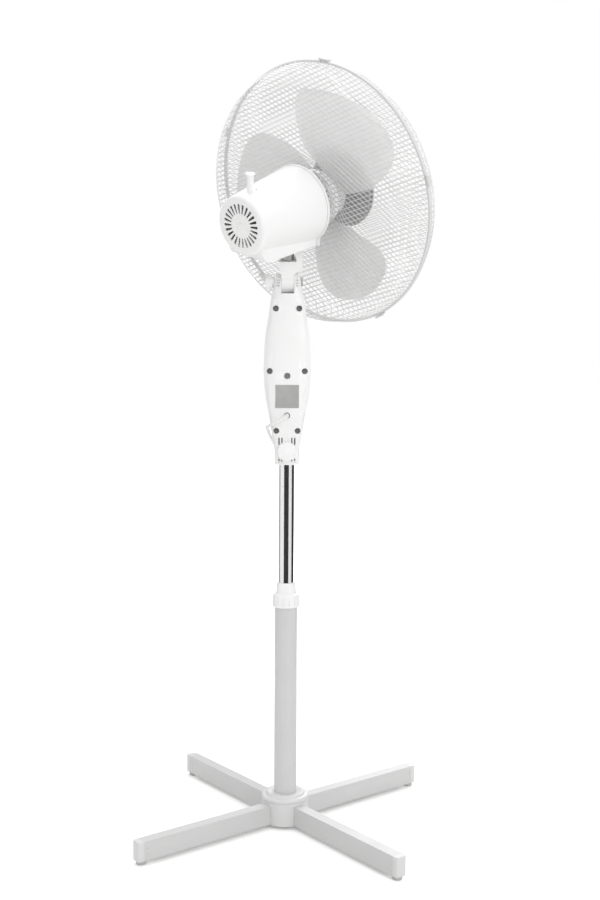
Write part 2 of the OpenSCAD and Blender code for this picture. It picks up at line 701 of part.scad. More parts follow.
module tilt_knob() {
    color(white) translate([0, 0, pivot_z]) {
        rod_x(-nut_x - 3, bolt_end_x, pivot_bolt_r);
        rod_x(tilt_knob_x - 4, tilt_knob_x + 1, tilt_knob_r - 3.6);
        difference() {
            rod_x(tilt_knob_x, tilt_knob_x + tilt_knob_t, tilt_knob_r);
            for (k = [0 : 17]) rotate([20 * k, 0, 0])
                block([tilt_knob_x - 1, -0.8, tilt_knob_r - 0.8],
                    [tilt_knob_x + tilt_knob_t + 1, 0.8, tilt_knob_r + 1]);
        }
    }
}

// Neck
module neck_bracket() {
    color(warm_white) neck_frame() difference() {
        union() {
            rod_x(-tongue_half_w, tongue_half_w, lug_r);
            block([-tongue_half_w, -block_deep, 0], [tongue_half_w, block_deep, block_low + 1]);
            block([-block_half, -block_deep, block_low], [block_half, block_deep, block_top]);
            block([-arm_out, 0, block_low + 4], [-block_half + 1, block_deep, block_top]);
            block([-arm_out, 0, block_top - 1], [-arm_in, block_deep, arm_top]);
            translate([anchor[0], anchor[1], arm_top - 1])
                cylinder(r = link_pin_r, h = link_z + link_t + 2 - arm_top);
        }
        rod_x(-60, 60, pivot_bolt_r + running_gap);
        translate([0, 0, swing_pin_low - 0.5]) cylinder(r = swing_pin_r + running_gap, h = 60);
    }
}
module drag_link() {
    turn = atan2(link_end[1] - anchor[1], link_end[0] - anchor[0]);
    color(steel) neck_frame() translate([anchor[0], anchor[1], link_z]) rotate([0, 0, turn]) difference() {
        linear_extrude(link_t) polygon(concat(arc([0, 0], link_half, 90, 270, 12),
            arc([link_len, 0], link_half, -90, 90, 12)));
        for (x = [0, link_len]) translate([x, 0, -1]) cylinder(r = link_pin_r + running_gap, h = link_t + 2);
    }
}

// Motor housing
shell_slope = (motor_front_r - motor_rear_r) / (motor_back + motor_seam);
function shell_r(s) = motor_rear_r + (s + motor_back) * shell_slope;
function shell_outline(d) = concat([[0, d - motor_back]],
    arc([motor_rear_r - shell_round, shell_round - motor_back], shell_round - d, -90, 0),
    [[motor_front_r - d, motor_seam], [0, motor_seam]]);
function skirt_side(d) = [[motor_seam, 0], [-skirt_back + d + 1, 0], [-skirt_back + d, -38],
    [-skirt_back + d + 3, -48 + d],
    [-skirt_back + d + 9, -55 + d], [-skirt_back + d + 18, -skirt_low], [motor_seam, -skirt_low]];
module skirt(d, low) {
    intersection() {
        rotate([0, -90, 0]) translate([0, 0, d - skirt_half]) linear_extrude(2 * (skirt_half - d))
            polygon([for (q = skirt_side(d)) [q[0], q[1] > -skirt_low ? q[1] : low]]);
        rotate([90, 0, 0]) translate([0, 0, -1]) linear_extrude(2 * skirt_low)
            polygon([[d - skirt_rear_half, -skirt_back], [skirt_rear_half - d, -skirt_back],
                [skirt_half - d, motor_seam], [d - skirt_half, motor_seam]]);
    }
}
module motor_rear_shell() {
    color(white) head_frame() difference() {
        union() {
            intersection() {
                union() {
                    rotate_extrude($fn = 96) polygon(shell_outline(0));
                    skirt(0, -skirt_low);
                }
                block([-100, -skirt_low, -200], [100, 100, motor_seam]);
            }
            translate([0, 0, -motor_back - 1]) cylinder(r = 4.5, h = 3);
        }
        difference() {
            union() {
                rotate_extrude($fn = 96) polygon(concat(shell_outline(shell_t), [[0, motor_seam + 1]]));
                translate([0, 0, motor_seam - 0.1]) cylinder(r = motor_front_r - shell_t, h = 2);
                skirt(shell_t, -skirt_low - 10);
                block([shell_t - skirt_half, -skirt_low - 10, motor_seam - 1],
                    [skirt_half - shell_t, -20, motor_seam + 1]);
            }
            translate([0, 0, -motor_back]) cylinder(r = 6, h = motor_back - case_back);
        }
        for (k = [0 : vent_count - 1]) rotate([0, 0, 360 * (k + 0.5) / vent_count])
            translate([0, 0, -motor_back - 2])
            linear_extrude(shell_t + 3) polygon([[vent_in, -1.2], [vent_out, -2.35], [vent_out + 1.2, 0],
                [vent_out, 2.35], [vent_in, 1.2]]);
        translate([0, 0, -knob_back]) {
            rod_y(30, 80, knob_shaft_r + seat_gap);
            block([-5.5, 30, 8], [-1.5, 80, 11]);
        }
    }
}
module lattice() {
    low = collar_end + 3;
    high = neck_seat - 5;
    difference() {
        tube(motor_front_r + 5, motor_r + seat_gap, high - low, low);
        for (k = [0 : lattice_bars - 1], slant = [-1, 1]) rotate([0, 0, 360 * k / lattice_bars])
            translate([(motor_r + motor_front_r) / 2, 0, (low + high) / 2]) rotate([slant * 24, 0, 0])
                cube([motor_front_r - motor_r + 12, lattice_bar_w, 2 * (high - low)], center = true);
    }
}
module motor_collar() {
    lip_r = motor_front_r + collar_lip;
    color(white) head_frame() difference() {
        union() {
            rotate_extrude($fn = 96) polygon([[motor_front_r - 3.4, motor_seam],
                [motor_front_r - 1.2, motor_seam],
                [motor_front_r - 1.2, motor_seam + 0.9], [lip_r - 0.4, motor_seam + 0.9],
                    [lip_r, motor_seam + 3],
                [lip_r, collar_end - 1.5], [lip_r - 1.5, collar_end], [motor_front_r - 4, collar_end + 0.3],
                [front_r, neck_seat - 3.5], [front_r, neck_seat], [motor_r - 3 + seat_gap, neck_seat],
                [motor_r - 3 + seat_gap, drum_end + 2 + part_gap],
                    [motor_r + seat_gap, drum_end - 2 + part_gap], [motor_r + 2.4, drum_end - 3.4],
                [motor_front_r - 5.2, collar_end - 2], [motor_front_r - 3.4, collar_end - 2]]);
            block([-skirt_half - collar_lip, -skirt_low - 2, collar_end - 1.5],
                [skirt_half + collar_lip, -motor_r, collar_end + 1]);
            block([-skirt_half - collar_lip, -skirt_low, motor_seam + 0.9],
                [skirt_half + collar_lip, -motor_r, collar_end - 1.4]);
        }
        translate([0, 0, motor_seam - 1]) cylinder(r = motor_front_r - 3.4, h = collar_t - 1);
        translate([0, 0, motor_seam - 1]) cylinder(r1 = motor_front_r - 3.4, r2 = motor_r + seat_gap,
            h = neck_seat - motor_seam - 9);
        lattice();
    }
}

// Motor
module motor_rear_bell() {
    split = stack_back + stack_len / 2;
    color(steel) head_frame() difference() {
        rotate_extrude() polygon([[shaft_r + 3 + running_gap, -bell_back], [motor_r - 4, -bell_back],
            [motor_r, 4 - bell_back],
            [motor_r, split], [motor_r - bell_wall, split], [motor_r - bell_wall, 5 - bell_back],
            [motor_r - 5, bell_wall - bell_back], [shaft_r + 6, bell_wall - bell_back],
                [shaft_r + 6, 10 - bell_back],
            [shaft_r + 3 + running_gap, 10 - bell_back]]);
    }
}
module motor_front_bell() {
    split = stack_back + stack_len / 2;
    color(black) head_frame() rotate_extrude() polygon([[shaft_r + 3 + running_gap, thread_end],
        [thread_r, thread_end],
        [thread_r, neck_seat], [motor_r - 3, neck_seat], [motor_r - 3, drum_end + 2], [motor_r, drum_end - 2],
        [motor_r, split], [motor_r - bell_wall, split], [motor_r - bell_wall, drum_end - bell_wall - 2],
        [thread_r - 5, drum_end + 3], [thread_r - 5, thread_end - 3], [shaft_r + 6, thread_end - 3],
        [shaft_r + 6, thread_end - 15], [shaft_r + 3 + running_gap, thread_end - 15]]);
}
module stator_core() { color(steel) head_frame() tube(motor_r - bell_wall - seat_gap, rotor_r + air_gap,
    stack_len, stack_back); }
module stator_windings() {
    color(copper) head_frame() for (s = [stack_back - 11, stack_back + stack_len]) translate([0, 0, s])
        rotate_extrude() polygon(round_box(rotor_r + 3.5, 0, motor_r - 6, 11, 3));
}
module shaft_bearings() {
    color(brass) head_frame() {
        tube(shaft_r + 3, shaft_r + running_gap, 10, -bell_back);
        tube(shaft_r + 3, shaft_r + running_gap, 15, thread_end - 15);
    }
}
module gear_case() {
    wall_back = -case_back + case_wall;
    color(steel) head_frame() difference() {
        union() {
            difference() {
                block([case_left, case_low, -case_back], [case_right, case_top, -bell_back]);
                block([case_left + case_wall, case_low + case_wall, wall_back],
                    [case_right - case_wall, case_top - case_wall, -bell_back - case_wall]);
            }
            block([case_left, foot_plate_top - foot_plate_t, -bell_back - 4],
                [-case_left, case_low + 1, -bell_back]);
            block([case_left, foot_plate_top - foot_plate_t, -bell_back - 4],
                [-case_left, foot_plate_top, -case_left]);
            rod_y(block_top + part_gap - axis_rise, foot_plate_top, boss_swing_r);
        }
        rod_y(-axis_rise, foot_plate_top + 1, swing_pin_r);
        translate([0, 0, -bell_back - 5]) cylinder(r = shaft_r + part_gap, h = 10);
        translate([wheel_at[0], 0, wheel_at[1]]) rod_y(case_low - 1, 0, 3 + running_gap);
        translate([0, 0, -crank_back]) rod_y(case_low - 1, case_low + case_wall + 1, 3 + running_gap);
        translate([0, 0, -knob_back]) rod_y(0, case_top + 1, 2.5 + running_gap);
    }
}
module swing_pin() { color(steel) head_frame() rod_y(swing_pin_low - axis_rise, foot_plate_top,
    swing_pin_r); }
module rotor() {
    color(steel) head_frame() {
        translate([0, 0, -shaft_back]) cylinder(r = shaft_r, h = shaft_back + hub_front + 7);
        translate([0, 0, stack_back]) cylinder(r = rotor_r, h = stack_len);
        difference() {
            translate([0, 0, -shaft_back]) cylinder(r = worm_r, h = worm_len);
            for (k = [0 : 3]) translate([0, 0, -shaft_back + 2 + 3 * k])
                rotate_extrude() polygon([[shaft_r + 0.1, 0], [worm_r + 1, -0.7], [worm_r + 1, 0.7]]);
        }
    }
}
module worm_wheel() {
    low = case_low - part_gap - 5;
    color(brass) head_frame() translate([wheel_at[0], 0, wheel_at[1]]) {
        rod_y(low, 8, 3);
        rod_y(-4, 4, worm_wheel_r);
        rod_y(low, low + 5, pinion_r);
    }
}
module crank_gear() {
    high = case_low - part_gap;
    pin_low = link_z + link_t + part_gap - axis_rise;
    color(brass) head_frame() translate([0, 0, -crank_back]) {
        rod_y(high - 5, high, crank_gear_r);
        rod_y(high - 1, case_low + case_wall + 3, 3);
        rotate([0, crank_dir - 90 + head_swing, 0]) translate([0, 0, -crank_r])
            rod_y(pin_low, high - 4, link_pin_r);
    }
}
module swing_knob() {
    color(white) head_frame() translate([0, 0, -knob_back]) {
        rod_y(case_top - case_wall, 48, 2.5);
        rotate([-90, 0, 0]) rotate_extrude() polygon([[0, 47.5], [knob_shaft_r, 47.5],
            [knob_shaft_r, knob_rise - 5.5], [knob_shaft_r + 0.6, knob_rise - 3.6],
            [knob_cap_r, knob_rise - 2], [knob_cap_r, knob_rise - 0.6], [knob_cap_r - 0.6, knob_rise], [0, knob_rise]]);
    }
}

// Guards
module shell_of(profile, d0, d1) {
    rotate_extrude($fn = 96) polygon(concat(offset_profile(profile, d0),
        reversed(offset_profile(profile, d1))));
}
module strands(slope, span, from, to) {
    count = floor(span / mesh_pitch);
    for (i = [-count : count]) rotate([0, 0, slope]) translate([0, i * mesh_pitch, (from + to) / 2])
        cube([span * 2.2, mesh_wire, to - from], center = true);
}
module mesh(profile, bore, from, to) {
    head_frame() difference() {
        for (side = [0, 1]) intersection() {
            shell_of(profile, side * layer_step, side * layer_step + wire_depth);
            strands(side == 0 ? -mesh_slope : mesh_slope, guard_r - 7, from, to);
        }
        cylinder(r = bore, h = 300, center = true);
    }
}
module rear_guard_mesh() { color(white) mesh(rear_profile, guard_hub_r, guard_back - 10, ring_back); }
module front_guard_mesh() { color(white) mesh(front_profile, badge_seat_r, ring_front, badge_back + 20); }
module clip_places() {
    for (k = [0 : clip_count - 1]) rotate([0, 0, 90 + clip_turn * k]) children();
}
module rear_guard_ring() {
    color(white) head_frame() difference() {
        union() {
            rotate_extrude($fn = 120) polygon([[ring_in, ring_back], [guard_r - 1, ring_back],
                [guard_r, ring_back + 1],
                [guard_r, guard_joint], [ring_in, guard_joint]]);
            clip_places() translate([0, -4, 0]) {
                block([guard_r - 2, 0, ring_back + 0.4], [guard_r + clip_pin_out, 8, guard_joint - 1]);
                translate([guard_r + clip_pin_out, 0, guard_joint - clip_pin_back]) rod_y(0, 8, clip_ear_r);
            }
        }
        clip_places() translate([guard_r + clip_pin_out, 0, guard_joint - clip_pin_back])
            rod_y(-5, 5, clip_pin_r + running_gap);
    }
}
module rear_guard_hub() { color(white) head_frame()
    tube(guard_hub_r, thread_r + seat_gap, guard_hub_t, neck_seat); }
module guard_nut() {
    low = neck_seat + guard_hub_t;
    color(white) head_frame() difference() {
        tube(guard_nut_r, thread_r + running_gap, guard_nut_h, low);
        for (k = [0 : 23]) rotate([0, 0, 15 * k]) block([guard_nut_r - 1, -1, low + 2],
            [guard_nut_r + 1, 1, low + guard_nut_h + 1]);
    }
}
module front_guard_ring() {
    color(white) head_frame() rotate_extrude($fn = 120) polygon([[ring_in, guard_joint],
        [guard_r, guard_joint], [guard_r, ring_front - 0.5], [guard_r - 0.5, ring_front], [ring_in, ring_front]]);
}
module badge() {
    color(white) head_frame() rotate_extrude($fn = 96) polygon([[0, badge_back], [badge_seat_r, badge_back],
        [badge_seat_r, badge_back + badge_lip], [badge_r, badge_back + badge_lip],
            [badge_r, badge_back + badge_lip + 1],
        [badge_r - 2, badge_back + badge_t], [badge_r * 0.5, badge_back + badge_t + 1.2],
            [0, badge_back + badge_t + 1.6]]);
}
module guard_clip(k) {
    pin_r_at = guard_r + clip_pin_out;
    pin_s = guard_joint - clip_pin_back;
    in = guard_r + part_gap + 0.1;
    half_turn = asin(clip_half / guard_r);
    color(white) head_frame() rotate([0, 0, 90 + clip_turn * (k - 1)]) {
        difference() {
            rotate([0, 0, -half_turn]) rotate_extrude(angle = 2 * half_turn, $fn = 120)
                polygon([[in, pin_s], [in + clip_wall, pin_s], [in + clip_wall, ring_front + 2.3],
                    [guard_r - clip_hook, ring_front + 2.3], [guard_r - clip_hook, ring_front + part_gap],
                        [in, ring_front + part_gap]]);
            block([guard_r - 6, -4.4, pin_s - 3], [guard_r + 6, 4.4, pin_s + clip_ear_r + 0.6]);
        }
        for (side = [-1, 1]) translate([pin_r_at, side * 6.7 - 2.3, pin_s]) rod_y(0, 4.6, clip_ear_r);
        translate([pin_r_at, 0, pin_s]) rod_y(-9, 9, clip_pin_r);
    }
}
module guard_clip_1() guard_clip(1);
module guard_clip_2() guard_clip(2);
module guard_clip_3() guard_clip(3);
module guard_clip_4() guard_clip(4);
module guard_clip_5() guard_clip(5);

// Blades
function blade_point(row, t, side) = let (r = root_r + (blade_r - root_r) * row[0],
    a = row[1] + (row[2] - row[1]) * t,
    s = hub_back + row[3] + (row[4] - row[3]) * (t + 0.13 * sin(180 * t))) [r * cos(a), r * sin(a),
        s + side * blade_t / 2];
module blade() {
    loft([for (row = blade_rows) concat([for (i = [0 : blade_steps]) blade_point(row, i / blade_steps, -1)],
        [for (i = [blade_steps : -1 : 0]) blade_point(row, i / blade_steps, 1)])]);
}
module fan_blade() {
    color(translucent) head_frame() difference() {
        union() {
            for (k = [0 : blade_count - 1]) rotate([0, 0, blade_turn + 360 * k / blade_count]) blade();
            difference() {
                rotate_extrude() polygon(concat([[0, hub_back], [hub_blade_r, hub_back]],
                    arc([hub_blade_r - 8, hub_front - 8], 8, 0, 90), [[0, hub_front]]));
                translate([0, 0, hub_back - 1]) cylinder(r = hub_blade_r - 4, h = hub_front - hub_back - 3);
            }
            translate([0, 0, hub_back]) cylinder(r = 10, h = hub_front - hub_back - 1);
        }
        translate([0, 0, hub_back - 1]) cylinder(r = shaft_r + running_gap, h = 60);
    }
}
module spinner() {
    color(white) head_frame() difference() {
        translate([0, 0, hub_front]) rotate_extrude()
            polygon([[0, 0], [spinner_r, 0], [spinner_r, 5], [spinner_r - 3, spinner_t - 1],
            [spinner_r - 6, spinner_t], [0, spinner_t]]);
        translate([0, 0, hub_front - 1]) cylinder(r = shaft_r + running_gap, h = 9);
    }
}

// Mains cord
function spline(p, i, t) = let (n = len(p) - 1, a = p[max(i - 1, 0)], b = p[i], c = p[i + 1],
    d = p[min(i + 2, n)])
    0.5 * (2 * b + (c - a) * t + (2 * a - 5 * b + 4 * c - d) * t * t + (3 * b - a - 3 * c + d) * t ^ 3);
function unit(v) = v / norm(v);
function along(path, i) = unit(path[min(i + 1, len(path) - 1)] - path[max(i - 1, 0)]);
function cord_ring(path, i) = let (d = along(path, i), u = unit(cross(d, [1, 0.2, 0.1])), v = cross(d, u))
    [for (k = [0 : cord_sides - 1]) let (a = 360 * k / cord_sides)
        path[i] + cord_r * (cos(a) * u + sin(a) * v)];
module flex(route) {
    path = concat([for (i = [0 : len(route) - 2], k = [0 : cord_steps - 1]) spline(route, i, k / cord_steps)],
        [route[len(route) - 1]]);
    color(white) loft([for (i = [0 : len(path) - 1]) cord_ring(path, i)]);
}
module hank_frame() {
    translate([hank_from[0], hank_from[1], 0]) rotate([0, 0, hank_turn]) children();
}
module mains_cord() { flex(cord_route); }
module cord_hank() {
    color(white) hank_frame() linear_extrude(hank_h)
        polygon(round_box(0, -hank_w / 2, hank_len, hank_w / 2, hank_w / 2 - 1));
}
module plug_lead() {
    hank_frame() flex([for (t = [0 : 0.125 : 1]) [hank_len - lead_in + (lead_len + lead_in) * t,
        lead_side * (1 + cos(180 * t)) / 2, lead_z + (plug_h / 2 - lead_z) * t]]);
}
module mains_plug() {
    color(white) hank_frame() translate([hank_len + lead_len, 0, 0]) {
        linear_extrude(plug_h) polygon([[0, -6], [8, -7], [16, -plug_w / 2], [plug_len, -plug_w / 2],
            [plug_len, plug_w / 2], [16, plug_w / 2], [8, 7], [0, 6]]);
        for (side = [-1, 1]) translate([0, side * pin_pitch / 2, plug_h / 2])
            rod_x(plug_len - 1, plug_len + pin_len, pin_r);
    }
}

cross_bar_lower();
cross_bar_upper();
leg_caps();
feet();
hub_cover();
lower_tube();
base_screws();
height_collet();
mains_cord();
cord_hank();
plug_lead();
mains_plug();
lock_nut();
chrome_tube();
slide_bush();
tube_socket();
box_rear_cover();
box_front_cover();
cover_screws();
label_plate();
control_panel();
switch_block();
capacitor();
cord_gland();
pivot_nut();
clamp_knob();
speed_button_1();
speed_button_2();
speed_button_3();
speed_button_4();
tilt_knob();
neck_bracket();
motor_rear_shell();
motor_collar();
motor_rear_bell();
motor_front_bell();
stator_core();
stator_windings();
shaft_bearings();
gear_case();
swing_pin();
rear_guard_mesh();
rear_guard_ring();
rear_guard_hub();
guard_nut();
front_guard_mesh();
front_guard_ring();
badge();
rotor();
fan_blade();
spinner();
worm_wheel();
crank_gear();
drag_link();
swing_knob();
guard_clip_1();
guard_clip_2();
guard_clip_3();
guard_clip_4();
guard_clip_5();
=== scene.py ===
# Pedestal fan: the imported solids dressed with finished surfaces, finishes, light and a camera.
import json
import math

import bmesh
import bpy
import numpy as np
from mathutils import Matrix


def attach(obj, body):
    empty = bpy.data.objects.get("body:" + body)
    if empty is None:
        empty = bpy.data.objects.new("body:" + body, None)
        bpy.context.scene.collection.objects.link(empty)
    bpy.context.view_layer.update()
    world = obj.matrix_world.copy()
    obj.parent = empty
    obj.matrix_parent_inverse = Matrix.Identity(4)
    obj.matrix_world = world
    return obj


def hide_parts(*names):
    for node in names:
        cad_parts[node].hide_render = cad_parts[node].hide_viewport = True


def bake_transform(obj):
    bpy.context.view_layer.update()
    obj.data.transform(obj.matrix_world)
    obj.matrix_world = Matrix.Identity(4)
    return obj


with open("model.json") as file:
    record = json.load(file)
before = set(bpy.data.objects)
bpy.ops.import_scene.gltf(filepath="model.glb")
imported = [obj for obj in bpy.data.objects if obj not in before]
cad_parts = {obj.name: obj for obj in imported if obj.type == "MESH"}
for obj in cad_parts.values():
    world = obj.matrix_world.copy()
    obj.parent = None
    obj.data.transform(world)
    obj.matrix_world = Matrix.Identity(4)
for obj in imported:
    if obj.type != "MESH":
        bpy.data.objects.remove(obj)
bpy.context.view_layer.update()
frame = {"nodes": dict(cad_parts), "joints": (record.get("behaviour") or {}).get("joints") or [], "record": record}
scene = bpy.context.scene
nodes = frame["nodes"]
joints = {joint["name"]: joint for joint in frame["joints"]}
bodyOf = {node: body for body, members in frame["record"]["behaviour"]["bodies"].items() for node in members}
mm = 0.001
print("frame loaded:", len(nodes), "nodes")


def linked(name, data):
    made = bpy.data.objects.new(name, data)
    scene.collection.objects.link(made)
    return made


# A place turns points of a part's own axes into the row's: point = origin + x across + y up + z forward
def placed(points, place):
    return place["origin"] + np.asarray(points, float) @ np.array([place["across"], place["up"], place["forward"]])


swingUp = np.array(joints["head_swing"]["axis"], float)
headForward = np.array(joints["blade_spin"]["axis"], float)
headPlace = {
    "origin": np.array(joints["blade_spin"]["pos_m"], float),
    "across": np.cross(swingUp, headForward),
    "up": swingUp,
    "forward": headForward,
}
rowPlace = {"origin": np.zeros(3), "across": np.array([1.0, 0, 0]), "up": np.array([0, 1.0, 0]),
            "forward": np.array([0, 0, 1.0])}


# Lens and film in mm; the stand's place in metres; the angles in degrees
cameraView = {"lens": 50.5, "film": 36, "back": 2.094, "height": 0.8453, "pitch": 5.6, "pan": 0.6, "roll": 0.35}


# Turn about one axis: the plane of the other two axes turns by the angle
def turnAbout(axis, degrees):
    a, b = [(1, 2), (2, 0), (0, 1)][axis]
    matrix, angle = np.eye(4), math.radians(degrees)
    matrix[a, a] = matrix[b, b] = math.cos(angle)
    matrix[b, a], matrix[a, b] = math.sin(angle), -math.sin(angle)
    return matrix


def makeCamera(view):
    data = bpy.data.cameras.new("camera")
    data.sensor_fit, data.sensor_height, data.lens = "VERTICAL", view["film"], view["lens"]
    scene.camera = linked("camera", data)
    stand = np.eye(4)
    stand[:3, 3] = (0, view["back"], view["height"])
    matrix = stand @ turnAbout(2, 180 - view["pan"]) @ turnAbout(0, 90 - view["pitch"]) @ turnAbout(2, view["roll"])
    scene.camera.matrix_world = Matrix(matrix.tolist())


makeCamera(cameraView)
print("camera set")


# An sRGB hex colour as linear values: c/12.92 below 0.04045, else ((c + 0.055)/1.055)^2.4
def linear(hexColour):
    parts = np.array([int(hexColour[i:i + 2], 16) for i in (1, 3, 5)]) / 255
    return (*np.where(parts <= 0.04045, parts / 12.92, ((parts + 0.055) / 1.055) ** 2.4).tolist(), 1.0)


def addNode(tree, kind, values=None, links=None, **settings):
    node = tree.nodes.new(kind)
    for key, value in settings.items():
        setattr(node, key, value)
    for socket, value in (values or {}).items():
        node.inputs[socket].default_value = value
    for socket, source in (links or {}).items():
        tree.links.new(source, node.inputs[socket])
    return node


def emptyTree(owner):
    owner.use_nodes = True
    owner.node_tree.nodes.clear()
    return owner.node_tree


# Every finish is two tones in soft patches, a worn or mottled roughness and a fine grain in relief; patch, grain and
# depth are in mm
def makeFinish(name, values):
    material = bpy.data.materials.new(name)
    tree = emptyTree(material)
    place = addNode(tree, "ShaderNodeTexCoord")
    turned = addNode(tree, "ShaderNodeMapping", {"Scale": values.get("stretch", (1, 1, 1))},
                     {"Vector": place.outputs["Object"]})
    patches = addNode(tree, "ShaderNodeTexNoise", {"Scale": 1 / (values["patch"] * mm), "Detail": 3},
                      {"Vector": place.outputs["Object"]})
    colour = addNode(tree, "ShaderNodeMix", {6: linear(values["colour"]), 7: linear(values["tint"])},
                     {0: patches.outputs["Fac"]}, data_type="RGBA")
    grain = addNode(tree, "ShaderNodeTexNoise",
                    {"Scale": 1 / (values["grain"] * mm), "Detail": 2, "Roughness": 0.5},
                    {"Vector": turned.outputs["Vector"]})
    rubbed = addNode(tree, "ShaderNodeMapRange",
                     {"From Min": 0.3, "From Max": 0.7, "To Min": values["rough"][0], "To Max": values["rough"][1]},
                     {"Value": grain.outputs["Fac"] if values.get("streaks") else patches.outputs["Fac"]})
    relief = addNode(tree, "ShaderNodeBump", {"Strength": 0.5, "Distance": values["depth"] * mm},
                     {"Height": grain.outputs["Fac"]})
    shader = addNode(tree, "ShaderNodeBsdfPrincipled",
                     {"Metallic": values.get("metallic", 0), **values.get("sockets", {})},
                     {"Base Color": colour.outputs[2], "Roughness": rubbed.outputs["Result"],
                      "Normal": relief.outputs["Normal"]})
    addNode(tree, "ShaderNodeOutputMaterial", links={"Surface": shader.outputs["BSDF"]})
    return material


finishValues = {
    # ABS moulded in a polished tool: even, clean white with a soft gloss and a faint ripple
    "mouldedAbs": {"colour": "#F8F8F8", "tint": "#F3F3F3", "patch": 60, "grain": 0.9, "depth": 0.012,
                   "rough": (0.3, 0.38), "sockets": {"IOR": 1.54}},
    # ABS moulded in a fine spark-eroded tool: the same white, duller
    "texturedAbs": {"colour": "#F7F7F7", "tint": "#F1F1F1", "patch": 40, "grain": 0.7, "depth": 0.03,
                    "rough": (0.42, 0.5), "sockets": {"IOR": 1.54}},
    # ABS tinted grey to go with the painted bars, moulded in a textured tool
    "greyAbs": {"colour": "#DFDFDF", "tint": "#D8D8D8", "patch": 30, "grain": 0.7, "depth": 0.03,
                "rough": (0.4, 0.5), "sockets": {"IOR": 1.54}},
    # Polyester powder baked on steel: pale grey with orange peel about a millimetre across
    "powderCoat": {"colour": "#D5D5D5", "tint": "#CECECE", "patch": 45, "grain": 1.3, "depth": 0.03,
                   "rough": (0.36, 0.46), "sockets": {"IOR": 1.5}},
    # Polyester powder on thin wire: white, the film rounded over the wire
    "coatedWire": {"colour": "#E1E1E1", "tint": "#DADADA", "patch": 50, "grain": 0.6, "depth": 0.008,
                   "rough": (0.38, 0.45), "sockets": {"IOR": 1.5}},
    # Chromium plated on a drawn steel tube: mirror bright with faint marks of sliding along the tube
    "chromePlate": {"colour": "#EAEAEA", "tint": "#E4E4E4", "patch": 30, "grain": 0.4, "depth": 0.0006,
                    "stretch": (1, 1, 0.03), "streaks": True, "rough": (0.035, 0.085), "metallic": 1},
    # Zinc plated on cold-headed steel: grey, slightly cloudy
    "zincPlate": {"colour": "#C2C2C1", "tint": "#AEAEAD", "patch": 3, "grain": 0.5, "depth": 0.01,
                  "rough": (0.28, 0.42), "metallic": 1},
    # Zinc with a black chromate on a screw: dark grey, satin
    "blackZinc": {"colour": "#858585", "tint": "#787878", "patch": 3, "grain": 0.4, "depth": 0.01,
                  "rough": (0.4, 0.55), "metallic": 0.6},
    # ABS sprayed with aluminium paint: satin silver
    "silverPaint": {"colour": "#B8B8B8", "tint": "#AEAEAE", "patch": 30, "grain": 0.5, "depth": 0.008,
                    "rough": (0.36, 0.46), "metallic": 0.5},
    # Aluminium sheet brushed along its width and left bare
    "brushedPlate": {"colour": "#D2D2D1", "tint": "#AEAEAD", "patch": 20, "grain": 0.35, "depth": 0.01,
                     "stretch": (0.04, 1, 1), "streaks": True, "rough": (0.3, 0.48), "metallic": 1},
    # Alkyd paint dipped on a pressed steel bell: near black, low gloss
    "blackPaint": {"colour": "#1D1E20", "tint": "#26272A", "patch": 15, "grain": 0.8, "depth": 0.03,
                   "rough": (0.4, 0.6), "sockets": {"IOR": 1.5}},
    # Nylon with carbon black, moulded: dull black
    "blackNylon": {"colour": "#202022", "tint": "#2A2A2C", "patch": 12, "grain": 0.5, "depth": 0.02,
                   "rough": (0.5, 0.62), "sockets": {"IOR": 1.53}},
    # Styrene acrylonitrile moulded thin in a sand-blasted tool: milky, lets some light through
    "frostedSan": {"colour": "#FBFBFB", "tint": "#F7F7F7", "patch": 50, "grain": 0.6, "depth": 0.02,
                   "rough": (0.3, 0.4), "sockets": {"IOR": 1.57, "Transmission Weight": 0.3}},
    # Nylon moulded without pigment: warm milky white, dull
    "naturalNylon": {"colour": "#E8E6DC", "tint": "#DEDBCE", "patch": 20, "grain": 0.5, "depth": 0.015,
                     "rough": (0.42, 0.52), "sockets": {"IOR": 1.53, "Subsurface Weight": 0.1}},
    # Thermoplastic rubber moulded: pale grey and matte
    "paleRubber": {"colour": "#C4C4C1", "tint": "#B6B6B3", "patch": 8, "grain": 0.4, "depth": 0.03,
                   "rough": (0.7, 0.82), "sockets": {"IOR": 1.5}},
    # Copper wire with clear enamel, wound in turns about 0.5 mm apart
    "enamelledCopper": {"colour": "#B5622F", "tint": "#9C4E22", "patch": 6, "grain": 0.5, "depth": 0.06,
                        "rough": (0.22, 0.4), "metallic": 1},
    # Bronze pressed from powder and soaked with oil: dull gold with open pores
    "sinteredBronze": {"colour": "#A98349", "tint": "#8C6B38", "patch": 2, "grain": 0.3, "depth": 0.03,
                       "rough": (0.4, 0.6), "metallic": 1},
    # Soft PVC extruded round a twin flex: white, satin, long faint streaks of the die
    "pvcSheath": {"colour": "#F1F1F0", "tint": "#EBEBEA", "patch": 25, "grain": 0.8, "depth": 0.01,
                  "rough": (0.38, 0.48), "sockets": {"IOR": 1.53}},
}
finishes = {name: makeFinish(name, values) for name, values in finishValues.items()}
print("finishes made:", len(finishes))


# Faces of a grid of rows by columns, counter-clockwise seen from outside; either way may close on itself
def gridFaces(rows, columns, closedRows=False, closedColumns=False):
    i, j = np.meshgrid(np.arange(rows if closedRows else rows - 1),
                       np.arange(columns if closedColumns else columns - 1), indexing="ij")
    i, j = i.ravel(), j.ravel()
    k, n = (i + 1) % rows, (j + 1) % columns
    return np.stack([i * columns + j, i * columns + n, k * columns + n, k * columns + j], 1)


def coat(mesh, finish):
    mesh.materials.clear()
    mesh.materials.append(finishes[finish])


